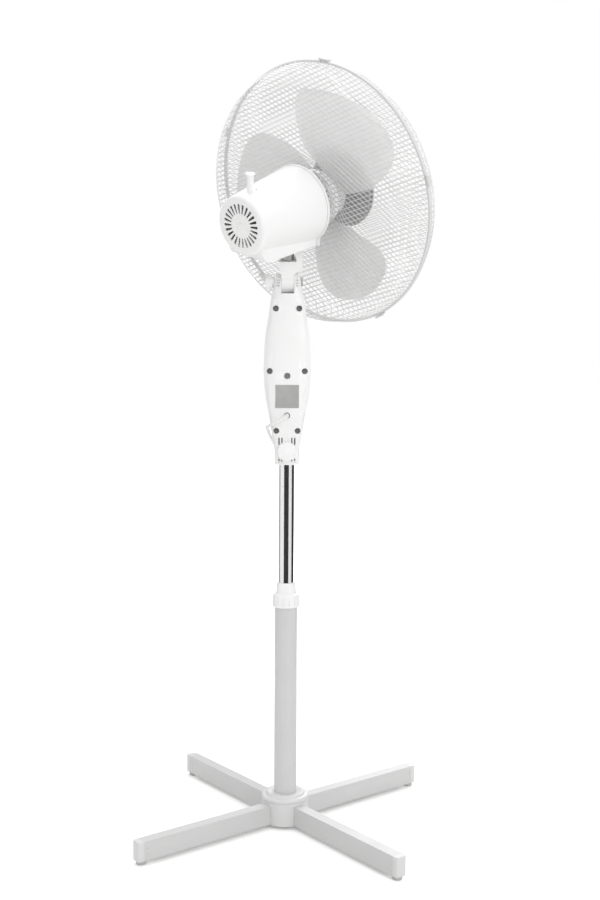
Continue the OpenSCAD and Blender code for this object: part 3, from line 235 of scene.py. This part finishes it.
# Shells of points in mm with their faces become one piece, in its place, finished and on its body
def makePiece(name, shells, finish, body, place=rowPlace, sharp=40):
    mesh = bpy.data.meshes.new(name)
    starts = np.cumsum([0] + [len(points) for points, _ in shells])
    points = np.concatenate([points for points, _ in shells])
    faces = [face for start, (_, groups) in zip(starts, shells)
             for group in (groups if isinstance(groups, list) else [groups]) for face in (group + start).tolist()]
    mesh.from_pydata(placed(points * mm, place), [], faces)
    mesh.validate()
    return dress(linked(name, mesh), finish, body, sharp)


# Smooth shading up to an angle in degrees, the finish with its slot, and the body that the piece rides on
def dress(piece, finish, body, sharp):
    coat(piece.data, finish)
    piece.data.polygons.foreach_set("use_smooth", np.ones(len(piece.data.polygons), bool))
    piece.data.set_sharp_from_angle(angle=math.radians(sharp))
    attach(piece, body)
    return piece


def circle(sides):
    angle = np.linspace(0, 2 * np.pi, sides, endpoint=False)
    return np.cos(angle), np.sin(angle)


# A profile of (radius, distance) turned round the forward axis: (r cos a, r sin a, s)
def turned(profile, steps=96):
    across, up = circle(steps)
    points = np.stack([profile[:, :1] * across, profile[:, :1] * up, profile[:, 1:] * np.ones(steps)], 2)
    return points.reshape(-1, 3), gridFaces(len(profile), steps, closedColumns=True)


# Weld distance in mm, the angle up to which faces count as flat in degrees, steps round an edge
copying = {"weld": 0.003, "flat": 0.4, "segments": 2}


# A copy of a solid with its loose triangles joined, flat faces made whole and its edges rounded
def finishedCopy(node, finish, edge, sharp=35):
    source, name = nodes[node], "".join(part.capitalize() if i else part for i, part in enumerate(node.split("_")))
    piece = linked(name, source.data.copy())
    work = bmesh.new()
    work.from_mesh(piece.data)
    bmesh.ops.remove_doubles(work, verts=work.verts, dist=copying["weld"] * mm)
    bmesh.ops.dissolve_limit(work, angle_limit=math.radians(copying["flat"]), verts=work.verts, edges=work.edges)
    work.to_mesh(piece.data)
    work.free()
    dress(piece, finish, bodyOf[node], sharp)
    bevel = piece.modifiers.new("edge", "BEVEL")
    bevel.width, bevel.segments, bevel.limit_method = edge * mm, copying["segments"], "ANGLE"
    bevel.angle_limit, bevel.harden_normals = math.radians(sharp), True
    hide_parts(node)


# mm and degrees; the hank lies in two layers, low and high, and its inner turn lies in by nest
cord = {"radius": 2.7, "steps": 6, "gap": 2.2, "sides": 14, "hankFrom": (-44.5, -79.3), "hankTurn": 217.4,
        "hankLength": 112, "loop": 21.6, "nest": 5.5, "waist": 10.8, "turns": 3, "quarterSteps": 24, "low": 3.4,
        "high": 9, "lead": 45, "leadSteps": 20, "plugHeight": 6.85}
# Out of the box, round its edge, down beside the pole and along the floor to the hank
cordRoute = np.array([
    [0, 20.3, 699.3], [0, 24, 699.3], [0.6, 29.5, 698.6], [3, 34.5, 697], [8.5, 38.6, 694], [15.5, 39.6, 690],
    [22.5, 36.9, 686.5], [28, 30.5, 683.5], [31.4, 22, 681], [32.4, 12, 678], [32, 2, 674.5], [30.8, -9, 669],
    [28.5, -20.5, 662], [24, -29, 653], [17, -34, 640], [11, -37, 622], [7, -38, 600], [4, -37, 560], [2, -35, 500],
    [2, -34, 420], [2, -34, 340], [2, -35, 260], [2, -37, 190], [0, -40, 130], [-5, -43, 92], [-11, -44, 66],
    [-17, -44.8, 44], [-24, -47, 25], [-33, -51.5, 11], [-43, -57.5, 4.2], [-54, -65.5, 3], [-57.6, -68.2, 3]], float)


# A smooth curve through points: on each span (2b + (c-a)t + (2a-5b+4c-d)t^2 + (3b-a-3c+d)t^3) / 2
def smoothPath(points, steps):
    padded = np.concatenate([points[:1], points, points[-1:]])
    a, b, c, d = (padded[i:i + len(points) - 1, None] for i in range(4))
    t = (np.arange(steps) / steps)[None, :, None]
    spans = (2 * b + (c - a) * t + (2 * a - 5 * b + 4 * c - d) * t ** 2 + (3 * b - a - 3 * c + d) * t ** 3) / 2
    return np.concatenate([spans.reshape(-1, 3), points[-1:]])


def smoothStep(x, low, high):
    t = np.clip((x - low) / (high - low), 0, 1)
    return t * t * (3 - 2 * t)


# The hank's line, turn by turn: along one side, round the far end, back and round the near end, in its own axes.
# u = side + R cos a and v = R sin a, less a waist of W cos^2(pi u / 2 half) where the tie pulls the runs together.
# R shrinks by one cord in the first turn's last quarter; the second turn climbs a layer in its own.
def hankLine(values):
    half = values["hankLength"] / 2 - values["radius"] - values["loop"]
    middle = values["hankLength"] / 2
    quarter = np.linspace(0, 1, values["quarterSteps"], endpoint=False)
    turnAngle = np.concatenate([0 * quarter - 90, 180 * quarter - 90, 0 * quarter + 90, 90 + 180 * quarter])
    turnSide = np.concatenate([2 * quarter - 1, 0 * quarter + 1, 1 - 2 * quarter, 0 * quarter - 1]) * half
    part = np.concatenate([quarter, quarter + 1, quarter + 2, quarter + 3]) / 4
    turns = values["turns"]
    angle = np.radians(np.concatenate([np.tile(turnAngle, turns), 0 * quarter - 90]))
    side = np.concatenate([np.tile(turnSide, turns), (2 * quarter - 1) * half])
    done = np.concatenate([(part[None] + np.arange(turns)[:, None]).ravel(), turns + quarter / 4])
    inward = smoothStep(done, 0.75, 1) - smoothStep(done, turns - 0.25, turns)
    reach = values["loop"] - values["nest"] * inward
    u, v = side + reach * np.cos(angle), reach * np.sin(angle)
    waist = values["waist"] * np.cos(np.pi / 2 * np.clip(u / half, -1, 1)) ** 2
    height = values["low"] + (values["high"] - values["low"]) * smoothStep(done, 1.75, 2)
    return np.stack([u + middle, v - np.sign(v) * waist, height], 1)


def hankPlace(values):
    turn = math.radians(values["hankTurn"])
    return {"origin": np.array([*values["hankFrom"], 0]) * mm,
            "across": np.array([math.cos(turn), math.sin(turn), 0]),
            "up": np.array([-math.sin(turn), math.cos(turn), 0]), "forward": np.array([0, 0, 1.0])}


# The lead from the hank's last run to the plug: v falls as half a cosine wave while u runs on
def leadLine(values, start):
    t = np.linspace(0, 1, values["leadSteps"])[1:]
    end = values["hankLength"] + values["lead"]
    return np.stack([start[0] + (end - start[0]) * t, start[1] * (1 + np.cos(np.pi * t)) / 2,
                     start[2] + (values["plugHeight"] - start[2]) * t], 1)


# The distance run along a path at each of its points
def runOf(path):
    return np.concatenate([[0], np.cumsum(np.linalg.norm(np.diff(path, axis=0), axis=1))])


# Points on a path after given distances
def pointsAt(path, at):
    return np.stack([np.interp(at, runOf(path), path[:, i]) for i in range(3)], 1)


# The same path with its points a gap apart
def even(path, gap):
    whole = runOf(path)[-1]
    return pointsAt(path, np.linspace(0, whole, int(whole / gap)))


# A round tube on a path: the curve's own bevel, made a mesh
def tubeMesh(name, path, radius, sides):
    curve = bpy.data.curves.new(name, "CURVE")
    curve.dimensions, curve.bevel_depth, curve.use_fill_caps = "3D", radius, True
    curve.bevel_resolution = sides // 2 - 2
    spline = curve.splines.new("POLY")
    spline.points.add(len(path) - 1)
    spline.points.foreach_set("co", np.concatenate([path, np.ones((len(path), 1))], 1).ravel())
    holder = linked(name, curve)
    mesh = bpy.data.meshes.new_from_object(holder.evaluated_get(bpy.context.evaluated_depsgraph_get()))
    bpy.data.objects.remove(holder)
    return linked(name, mesh)


# The body's stations along the plug, with half width and half thickness there; then (distance, radius) past its face
plug = {"stations": [0, 1, 5, 9, 13, 17, 21, 30, 35, 36],
        "half": [4.6, 5.2, 5.6, 6.4, 9.5, 14.2, 16.6, 17.5, 17.4, 16.6],
        "thick": [4.4, 5, 5.2, 5.4, 5.9, 6.5, 6.8, 6.85, 6.8, 6.2], "square": 3.2, "sides": 40, "overLead": 1,
        "pinPitch": 18.6, "pin": [(0, 2), (17, 2), (18.4, 1.7), (19, 0.8)],
        "sleeve": [(-1, 2.08), (10, 2.08), (10.2, 1.9)]}


# A rounded square, |y|^n + |z|^n = 1: y and z are a circle's cosine and sine to the power 2/n, with their signs
def roundedSquare(square, sides):
    return [np.sign(part) * np.abs(part) ** (2 / square) for part in circle(sides)]


# Rings joined along a line, with a fan of triangles on each end
def loft(rings):
    rows, sides = rings.shape[:2]
    points = np.concatenate([rings.reshape(-1, 3), rings[0].mean(0)[None], rings[-1].mean(0)[None]])
    j = np.arange(sides)
    first = np.stack([np.full(sides, rows * sides), (j + 1) % sides, j], 1)
    end = (rows - 1) * sides
    last = np.stack([np.full(sides, rows * sides + 1), end + j, end + (j + 1) % sides], 1)
    return points, [gridFaces(rows, sides, closedColumns=True), first, last]


# A plug is a loft of rounded squares, drawn to half width and half thickness at each station
def makePlug(values, startU):
    y, z = roundedSquare(values["square"], values["sides"])
    at, half, thick = (np.array(values[key], float)[:, None] for key in ("stations", "half", "thick"))
    rings = np.stack([startU + at + 0 * y, half * y, cord["plugHeight"] + thick * z], 2)
    across, up = circle(values["sides"])
    face = startU + values["stations"][-1]
    shells = {"pin": [], "sleeve": []}
    for side in (-1, 1):
        for part, made in shells.items():
            at, radius = np.array(values[part], float).T[:, :, None]
            made.append(loft(np.stack([face + at + 0 * across, side * values["pinPitch"] / 2 + radius * across,
                                       cord["plugHeight"] + radius * up], 2)))
    place = hankPlace(cord)
    return [makePiece("plugBody", [loft(rings)], "mouldedAbs", "stand", place, 50),
            makePiece("plugPins", shells["pin"], "zincPlate", "stand", place),
            makePiece("plugSleeves", shells["sleeve"], "blackNylon", "stand", place)]


hank = hankLine(cord)
coiled = np.concatenate([hank, leadLine(cord, hank[-1])])
coiledRow = placed(coiled * mm, hankPlace(cord))
# The route runs on into the hank's seventh point, by way of the third
hanging = smoothPath(np.concatenate([cordRoute * mm, coiledRow[[2, 6]]]), cord["steps"])
cordPath = even(np.concatenate([hanging, coiledRow[7:]]), cord["gap"] * mm)
mainsCord = tubeMesh("mainsCord", cordPath, cord["radius"] * mm, cord["sides"])
coat(mainsCord.data, "pvcSheath")
plugPieces = makePlug(plug, cord["hankLength"] + cord["lead"] - plug["overLead"])

sleeve = {"long": 20, "root": 4.1, "tip": 3.1, "rib": 0.35, "waves": 3.5, "crest": 0.3, "rings": 61, "sides": 28,
          "routePoints": 7, "routeSteps": 12}


# The sleeve follows the cord's own line out of the box and tapers to it: R falls from root to tip, less a groove
# wherever sin(2 pi waves share) is above crest
def makeSleeve(values, line):
    at = np.linspace(0, values["long"], values["rings"])
    centre = pointsAt(line, at)
    along = np.gradient(centre, axis=0)
    along /= np.linalg.norm(along, axis=1, keepdims=True)
    beside = np.cross(along, [0, 0, 1.0])
    beside /= np.linalg.norm(beside, axis=1, keepdims=True)
    over = np.cross(beside, along)
    share = at / values["long"]
    groove = np.sin(2 * np.pi * values["waves"] * share) > values["crest"]
    radius = values["root"] + (values["tip"] - values["root"]) * share - values["rib"] * groove
    cosine, sine = (part[None, :, None] for part in circle(values["sides"]))
    turn = cosine * beside[:, None] + sine * over[:, None]
    return makePiece("cordSleeve", [loft(centre[:, None] + radius[:, None, None] * turn)], "pvcSheath", "mast")


cordSleeve = makeSleeve(sleeve, smoothPath(cordRoute[:sleeve["routePoints"]], sleeve["routeSteps"]))
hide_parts("mains_plug")
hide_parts("mains_cord", "cord_hank", "plug_lead")


# Half the band's width, its thickness, half the space inside it both ways and the middle's height over the floor
tie = {"width": 3, "thick": 0.45, "half": 11.265, "tall": 5.75, "height": 6.3, "square": 3.4, "sides": 48}


# The tie is a flat band round the waist of the hank: a rounded rectangle ring, thin and closed
def makeTie(values):
    y, z = roundedSquare(values["square"], values["sides"])
    section = [(-values["width"], 0), (-values["width"], values["thick"]),
               (values["width"], values["thick"]), (values["width"], 0)]
    rings = np.stack([np.stack([cord["hankLength"] / 2 + u + 0 * y, (values["half"] + grow) * y,
                                values["height"] + (values["tall"] + grow) * z], 1) for u, grow in section])
    return makePiece("cordTie", [(rings.reshape(-1, 3), gridFaces(4, values["sides"], True, True))], "blackNylon",
                     "stand", hankPlace(cord), 30)


cordTie = makeTie(tie)
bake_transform(mainsCord)


# Wires: pitch, width, slope in degrees, how far the layers lie apart and off the profile; then places of the dishes
guard = {"pitch": 7.26, "slope": 27.7, "wire": 1.2, "layer": 0.66, "cover": 1.33, "outer": 216.5, "joint": 86.5,
         "seat": 56.5, "back": 43.5, "rimGap": 6, "samples": 400, "smooth": 13, "stations": 81}
# (radius, distance along the blades' axis) from the hub plate or badge to the ring
rearProfile = [(44, guard["seat"] + 1.5), (64, guard["seat"] + 0.5), (70, guard["seat"] - 3), (78, guard["back"] + 5),
               (85, guard["back"] + 2), (150, guard["back"]), (guard["outer"] - 28, guard["back"] - 0.5),
               (guard["outer"] - 21, guard["back"] + 2.5), (guard["outer"] - 13, guard["back"] + 11),
               (guard["outer"] - 3.6, guard["joint"] - 2)]
frontProfile = [(62.5, guard["joint"] + 51.2), (66, guard["joint"] + 51), (130, guard["joint"] + 45.5),
                (guard["outer"] - 37, guard["joint"] + 38), (guard["outer"] - 22, guard["joint"] + 33),
                (guard["outer"] - 13, guard["joint"] + 25), (guard["outer"] - 4.9, guard["joint"] + 8),
                (guard["outer"] - 3.9, guard["joint"] + 2)]


# A guard is a dish of wires laid both ways: a straight wire at offset c meets radius r at u = sqrt(r^2 - c^2)
# and follows the dish's profile s(r); each is a four-sided strand. One layer leans left and one right, and cover and
# layer set them off along the normal. A wire that would cross the middle is two, left and right
def guardWires(name, profile, node, values, out):
    knots = np.array(profile, float)
    run = runOf(knots)
    fine = np.linspace(0, run[-1], values["samples"])
    radius, height = np.interp(fine, run, knots[:, 0]), np.interp(fine, run, knots[:, 1])
    kernel = np.hanning(values["smooth"]) / np.hanning(values["smooth"]).sum()
    height = np.convolve(np.pad(height, values["smooth"] // 2, mode="edge"), kernel, "valid")
    normal = np.stack([-np.gradient(height, fine), np.gradient(radius, fine)], 1) * out
    inner, outer = knots[0, 0], knots[-1, 0]
    most = int(outer / values["pitch"]) + 1
    offsets = (np.arange(-most, most) + 0.5) * values["pitch"]
    offsets = offsets[np.abs(offsets) < outer - values["rimGap"]]
    shells = []
    for layer, slope in ((-1, -values["slope"]), (1, values["slope"])):
        for kind, c in (("whole", offsets[np.abs(offsets) > inner]), ("left", offsets[np.abs(offsets) <= inner]),
                        ("right", offsets[np.abs(offsets) <= inner])):
            t = np.linspace(-1, 1, values["stations"])
            t = t if kind == "whole" else t[values["stations"] // 2:]
            first = np.maximum(np.abs(c), inner)[:, None]
            start = np.interp(first, radius, fine)
            share = t ** 2 * (3 - 2 * np.abs(t))
            r = np.interp(start + (run[-1] - start) * share[None], fine, radius)
            r = np.maximum(r, np.abs(c)[:, None])
            sign = np.sign(t) if kind == "whole" else (1 if kind == "right" else -1)
            u = sign * np.sqrt(np.maximum(r ** 2 - c[:, None] ** 2, 0))
            s = np.interp(r, radius, height)
            a = math.radians(slope)
            x, y = u * math.cos(a) - c[:, None] * math.sin(a), u * math.sin(a) + c[:, None] * math.cos(a)
            line = np.stack([x, y, s], 2)
            n = np.stack([np.interp(r, radius, normal[:, i]) for i in (0, 1)], 2)
            n = np.concatenate([n[..., :1] * np.stack([x, y], 2) / np.maximum(r, 1e-6)[..., None], n[..., 1:]], 2)
            along = np.gradient(line, axis=1)
            along /= np.linalg.norm(along, axis=2, keepdims=True)
            beside = np.cross(along, n)
            beside /= np.linalg.norm(beside, axis=2, keepdims=True)
            n = np.cross(beside, along)
            line = line + n * (values["cover"] + layer * values["layer"])
            half = values["wire"] / 2
            ring = np.stack([line + half * n, line + half * beside, line - half * n, line - half * beside], 2)
            count, stations = ring.shape[:2]
            faces = gridFaces(stations, 4, closedColumns=True)
            ends = np.array([[3, 2, 1, 0], (stations - 1) * 4 + np.array([0, 1, 2, 3])])
            starts = (np.arange(count) * stations * 4)[:, None, None]
            shells.append((ring.reshape(-1, 3), (np.concatenate([faces, ends])[None] + starts).reshape(-1, 4)))
    piece = makePiece(name, shells, "coatedWire", "head", headPlace, 60)
    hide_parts(node)


guardWires("rearWires", rearProfile, "rear_guard_mesh", guard, -1)
guardWires("frontWires", frontProfile, "front_guard_mesh", guard, 1)
print("guard wires laid")


# Tip and root are radii, turn is in degrees; crowd packs rows near the root or tip, blunt rounds the edges
blades = {"count": 3, "tip": 180, "root": 36, "turn": 6.2, "back": 74.3, "thick": 1.8, "rows": 48, "steps": 24,
          "lift": 0.13, "crowd": 0.75, "blunt": 6, "least": 0.02}
# Share of the way to the tip, leading and trailing edge in degrees, and their places past the hub's back face
bladeRows = np.array([
    (0, 105, 165, 6, 27), (0.1125, 91, 162, -2, 26), (0.2125, 79.5, 160, -8, 25), (0.325, 74, 158, -16, 23.5),
    (0.4375, 72.3, 156, -20, 22), (0.55, 71.5, 152.5, -22, 20.5), (0.6875, 71.5, 149, -22.5, 19),
    (0.8, 72, 145, -23, 18), (0.8875, 73.6, 141, -23.2, 17), (0.95, 76.4, 136, -23.2, 15.5),
    (0.9875, 80.6, 128, -22, 13), (1, 88, 118, -19, 9)])
# (radius, distance past the back face) round the blades' hub
hubProfile = np.array([(4.1, 1), (30, 1), (33, 2), (33, 0.3), (36.6, 0.3), (37, 1), (37, 24), (36.4, 27.4),
                       (34.7, 29.9), (32.2, 31.5), (29, 32), (4.1, 32)])


# A closed band of rings whose ends are strips across the section, first point against last
def closedStrip(rings):
    rows, sides = rings.shape[:2]
    i = np.arange(sides // 2 - 1)
    strip = np.stack([i, i + 1, sides - 2 - i, sides - 1 - i], 1)
    faces = [gridFaces(rows, sides, closedColumns=True), strip[:, ::-1], strip + (rows - 1) * sides]
    return rings.reshape(-1, 3), faces


# A blade is a grid of radius by chord: angle and place run from the leading to the trailing edge, s bulges by
# lift sin(pi t), and the thickness is T (1 - |2t - 1|^blunt)^0.5 so that both edges are round
def makeBlades(values):
    share = np.interp(np.linspace(0, 1, values["rows"]) ** values["crowd"], np.linspace(0, 1, len(bladeRows)),
                      bladeRows[:, 0])
    lead, trail, low, high = (np.interp(share, bladeRows[:, 0], bladeRows[:, i])[:, None] for i in range(1, 5))
    t = (1 - np.cos(np.linspace(0, np.pi, values["steps"] + 1))) / 2
    thick = values["thick"] * np.sqrt(np.maximum(1 - np.abs(2 * t - 1) ** values["blunt"], values["least"]))
    t = np.concatenate([t, t[::-1]])
    side = np.concatenate([-thick, thick[::-1]]) / 2
    angle = np.radians(lead + (trail - lead) * t)
    r = values["root"] + (values["tip"] - values["root"]) * share[:, None]
    s = values["back"] + low + (high - low) * (t + values["lift"] * np.sin(np.pi * t)) + side
    rings = np.stack([r * np.cos(angle), r * np.sin(angle), s], 2)
    shells = []
    for k in range(values["count"]):
        a = math.radians(values["turn"]) + 2 * np.pi * k / values["count"]
        spin = np.array([[np.cos(a), np.sin(a), 0], [-np.sin(a), np.cos(a), 0], [0, 0, 1]])
        shells.append(closedStrip(rings @ spin))
    shells.append(turned(hubProfile + (0, values["back"])))
    piece = makePiece("fanBlade", shells, "frostedSan", "rotor", headPlace, 40)
    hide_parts("fan_blade")


makeBlades(blades)
print("blades made")


# Solids that get a finish and rounded edges, in mm
roundedEdges = {
    "box_rear_cover": ("texturedAbs", 0.5), "box_front_cover": ("texturedAbs", 0.5),
    "motor_rear_shell": ("mouldedAbs", 0.8), "motor_collar": ("mouldedAbs", 0.4), "hub_cover": ("greyAbs", 0.5),
    "lock_nut": ("mouldedAbs", 0.3), "leg_caps": ("greyAbs", 0.5), "neck_bracket": ("mouldedAbs", 0.6),
    "tilt_knob": ("mouldedAbs", 0.3),
    "clamp_knob": ("mouldedAbs", 0.2), "swing_knob": ("mouldedAbs", 0.2), "guard_nut": ("mouldedAbs", 0.3),
    "rear_guard_hub": ("mouldedAbs", 0.3), "rear_guard_ring": ("greyAbs", 0.5), "front_guard_ring": ("greyAbs", 0.5),
    "badge": ("silverPaint", 0.3), "spinner": ("mouldedAbs", 0.3), "control_panel": ("powderCoat", 0.2),
    "cross_bar_lower": ("powderCoat", 0.6), "cross_bar_upper": ("powderCoat", 0.6), "lower_tube": ("powderCoat", 0.3),
    "motor_front_bell": ("blackPaint", 0.3), "label_plate": ("brushedPlate", 0.1), "cord_gland": ("mouldedAbs", 0.15),
    **{f"speed_button_{k}": ("mouldedAbs", 0.3) for k in range(1, 5)},
    **{f"guard_clip_{k}": ("greyAbs", 0.25) for k in range(1, 6)},
}
# Solids that are finished as they are; the last finish is on those that other pieces replace
plainSolids = {
    "blackZinc": ["cover_screws"],
    "zincPlate": ["base_screws", "pivot_nut", "motor_rear_bell", "stator_core", "gear_case", "swing_pin",
                  "rotor", "drag_link"],
    "naturalNylon": ["height_collet", "worm_wheel", "crank_gear"], "mouldedAbs": ["tube_socket"],
    "blackNylon": ["slide_bush", "switch_block", "capacitor"], "paleRubber": ["feet"], "chromePlate": ["chrome_tube"],
    "enamelledCopper": ["stator_windings"], "sinteredBronze": ["shaft_bearings"],
    "pvcSheath": ["mains_cord", "cord_hank", "plug_lead", "mains_plug", "rear_guard_mesh", "front_guard_mesh",
                  "fan_blade"],
}
for node, (finish, edge) in roundedEdges.items():
    finishedCopy(node, finish, edge)
for finish, members in plainSolids.items():
    for node in members:
        coat(nodes[node].data, finish)
print("solids dressed")


# Place and width in metres, power in watts; all are aimed at the same point
lamps = {"key": ((-1.7, 2.2, 2.1), 1.6, 32), "fill": ((2.1, 1.7, 1.3), 1.8, 9), "top": ((0.2, -0.3, 2.9), 1.8, 22),
         "front": ((-0.9, -2.4, 1.9), 1.8, 34)}
lampTarget = (0, 0, 0.75)


def lampPlace(origin, target):
    back = np.array(origin) - np.array(target)
    back /= np.linalg.norm(back)
    across = np.cross([0, 0, 1.0], back)
    across /= np.linalg.norm(across)
    matrix = np.eye(4)
    matrix[:3, 0], matrix[:3, 1], matrix[:3, 2], matrix[:3, 3] = across, np.cross(back, across), back, origin
    return Matrix(matrix.tolist())


for name, (origin, size, power) in lamps.items():
    data = bpy.data.lights.new(name, "AREA")
    data.shape, data.size, data.energy = "DISK", size, power
    linked(name, data).matrix_world = lampPlace(origin, lampTarget)


# Dark and white cards stand round the pole for bright metal to show, as in a studio; nothing else sees them
cards = {"radius": 1.0, "low": 0.1, "high": 0.57, "points": 13, "spans": [
    (-150, -86, "#1A1A1B"), (-86, -33, "#F6F6F6"), (-33, 40, "#1A1A1B"), (40, 116, "#F6F6F6"),
    (116, 178, "#828282")]}


# A card is a band of a cylinder: (R sin a, R cos a, z), a from the camera's side
def makeCards(values):
    for k, (low, high, colour) in enumerate(values["spans"]):
        material = bpy.data.materials.new(f"card{k}")
        material.use_nodes = True
        material.node_tree.nodes["Principled BSDF"].inputs["Base Color"].default_value = linear(colour)
        a = np.radians(np.linspace(low, high, values["points"]))
        rim = np.stack([values["radius"] * np.sin(a), values["radius"] * np.cos(a)], 1)
        points = np.concatenate([np.insert(rim, 2, z, 1) for z in (values["low"], values["high"])])
        mesh = bpy.data.meshes.new(f"card{k}")
        mesh.from_pydata(points, [], gridFaces(2, values["points"]).tolist())
        mesh.materials.append(material)
        card = linked(f"card{k}", mesh)
        card.visible_camera = card.visible_diffuse = card.visible_shadow = card.visible_transmission = False


# The world is a pale room; the camera, a mirror and a lens see it as plain white
def makeWorld(level):
    world = bpy.data.worlds.new("room")
    scene.world = world
    tree = emptyTree(world)
    rays = addNode(tree, "ShaderNodeLightPath")
    seen = addNode(tree, "ShaderNodeMath", links={0: rays.outputs["Is Camera Ray"], 1: rays.outputs["Is Glossy Ray"]},
                   operation="MAXIMUM")
    seen = addNode(tree, "ShaderNodeMath", links={0: seen.outputs[0], 1: rays.outputs["Is Transmission Ray"]},
                   operation="MAXIMUM")
    room = addNode(tree, "ShaderNodeBackground", {"Color": linear("#FFFFFF"), "Strength": level})
    white = addNode(tree, "ShaderNodeBackground", {"Color": linear("#FFFFFF"), "Strength": 1.0})
    mixed = addNode(tree, "ShaderNodeMixShader", links={0: seen.outputs[0], 1: room.outputs[0], 2: white.outputs[0]})
    addNode(tree, "ShaderNodeOutputWorld", links={"Surface": mixed.outputs[0]})


roomLevel = 0.57
# Metres, apart from the lift, the shares of the reach and the mottle's patches per metre
floorValues = {"reach": 14, "lift": 0.25, "whiteFrom": 0.55, "whiteTo": 1.3, "fadeFrom": 0.4, "fadeTo": 0.95,
               "mottle": 60}


# The floor is pale vinyl; the camera sees it lifted a little near the stand and to white further out, and it fades
# into the white room beyond some metres
def makeFloor(values):
    material = bpy.data.materials.new("paleVinyl")
    tree = emptyTree(material)
    place = addNode(tree, "ShaderNodeTexCoord")
    mottle = addNode(tree, "ShaderNodeTexNoise", {"Scale": values["mottle"], "Detail": 2},
                     {"Vector": place.outputs["Object"]})
    colour = addNode(tree, "ShaderNodeMix", {6: linear("#F6F6F5"), 7: linear("#F3F3F2")}, {0: mottle.outputs["Fac"]},
                     data_type="RGBA")
    matte = addNode(tree, "ShaderNodeBsdfDiffuse", links={"Color": colour.outputs[2]})
    rays = addNode(tree, "ShaderNodeLightPath")
    away = addNode(tree, "ShaderNodeVectorMath", links={0: place.outputs["Object"]}, operation="LENGTH")
    rise = addNode(tree, "ShaderNodeMapRange",
                   {"From Min": values["whiteFrom"], "From Max": values["whiteTo"], "To Min": values["lift"],
                    "To Max": 1},
                   {"Value": away.outputs["Value"]}, interpolation_type="SMOOTHSTEP")
    extra = addNode(tree, "ShaderNodeMath", links={0: rays.outputs["Is Camera Ray"], 1: rise.outputs[0]},
                    operation="MULTIPLY")
    glow = addNode(tree, "ShaderNodeEmission", {"Color": linear("#FFFFFF")}, {"Strength": extra.outputs[0]})
    lit = addNode(tree, "ShaderNodeAddShader", links={0: matte.outputs[0], 1: glow.outputs[0]})
    reach = values["reach"]
    fade = addNode(tree, "ShaderNodeMapRange",
                   {"From Min": reach * values["fadeFrom"], "From Max": reach * values["fadeTo"]},
                   {"Value": away.outputs["Value"]})
    clear = addNode(tree, "ShaderNodeBsdfTransparent")
    mixed = addNode(tree, "ShaderNodeMixShader", links={0: fade.outputs[0], 1: lit.outputs[0], 2: clear.outputs[0]})
    addNode(tree, "ShaderNodeOutputMaterial", links={"Surface": mixed.outputs[0]})
    mesh = bpy.data.meshes.new("floor")
    corners = [(-reach, -reach, 0), (reach, -reach, 0), (reach, reach, 0), (-reach, reach, 0)]
    mesh.from_pydata(corners, [], [(0, 1, 2, 3)])
    mesh.materials.append(material)
    linked("floor", mesh)


makeCards(cards)
makeWorld(roomLevel)
makeFloor(floorValues)
scene.view_settings.view_transform = "Standard"
print("floor and light set")
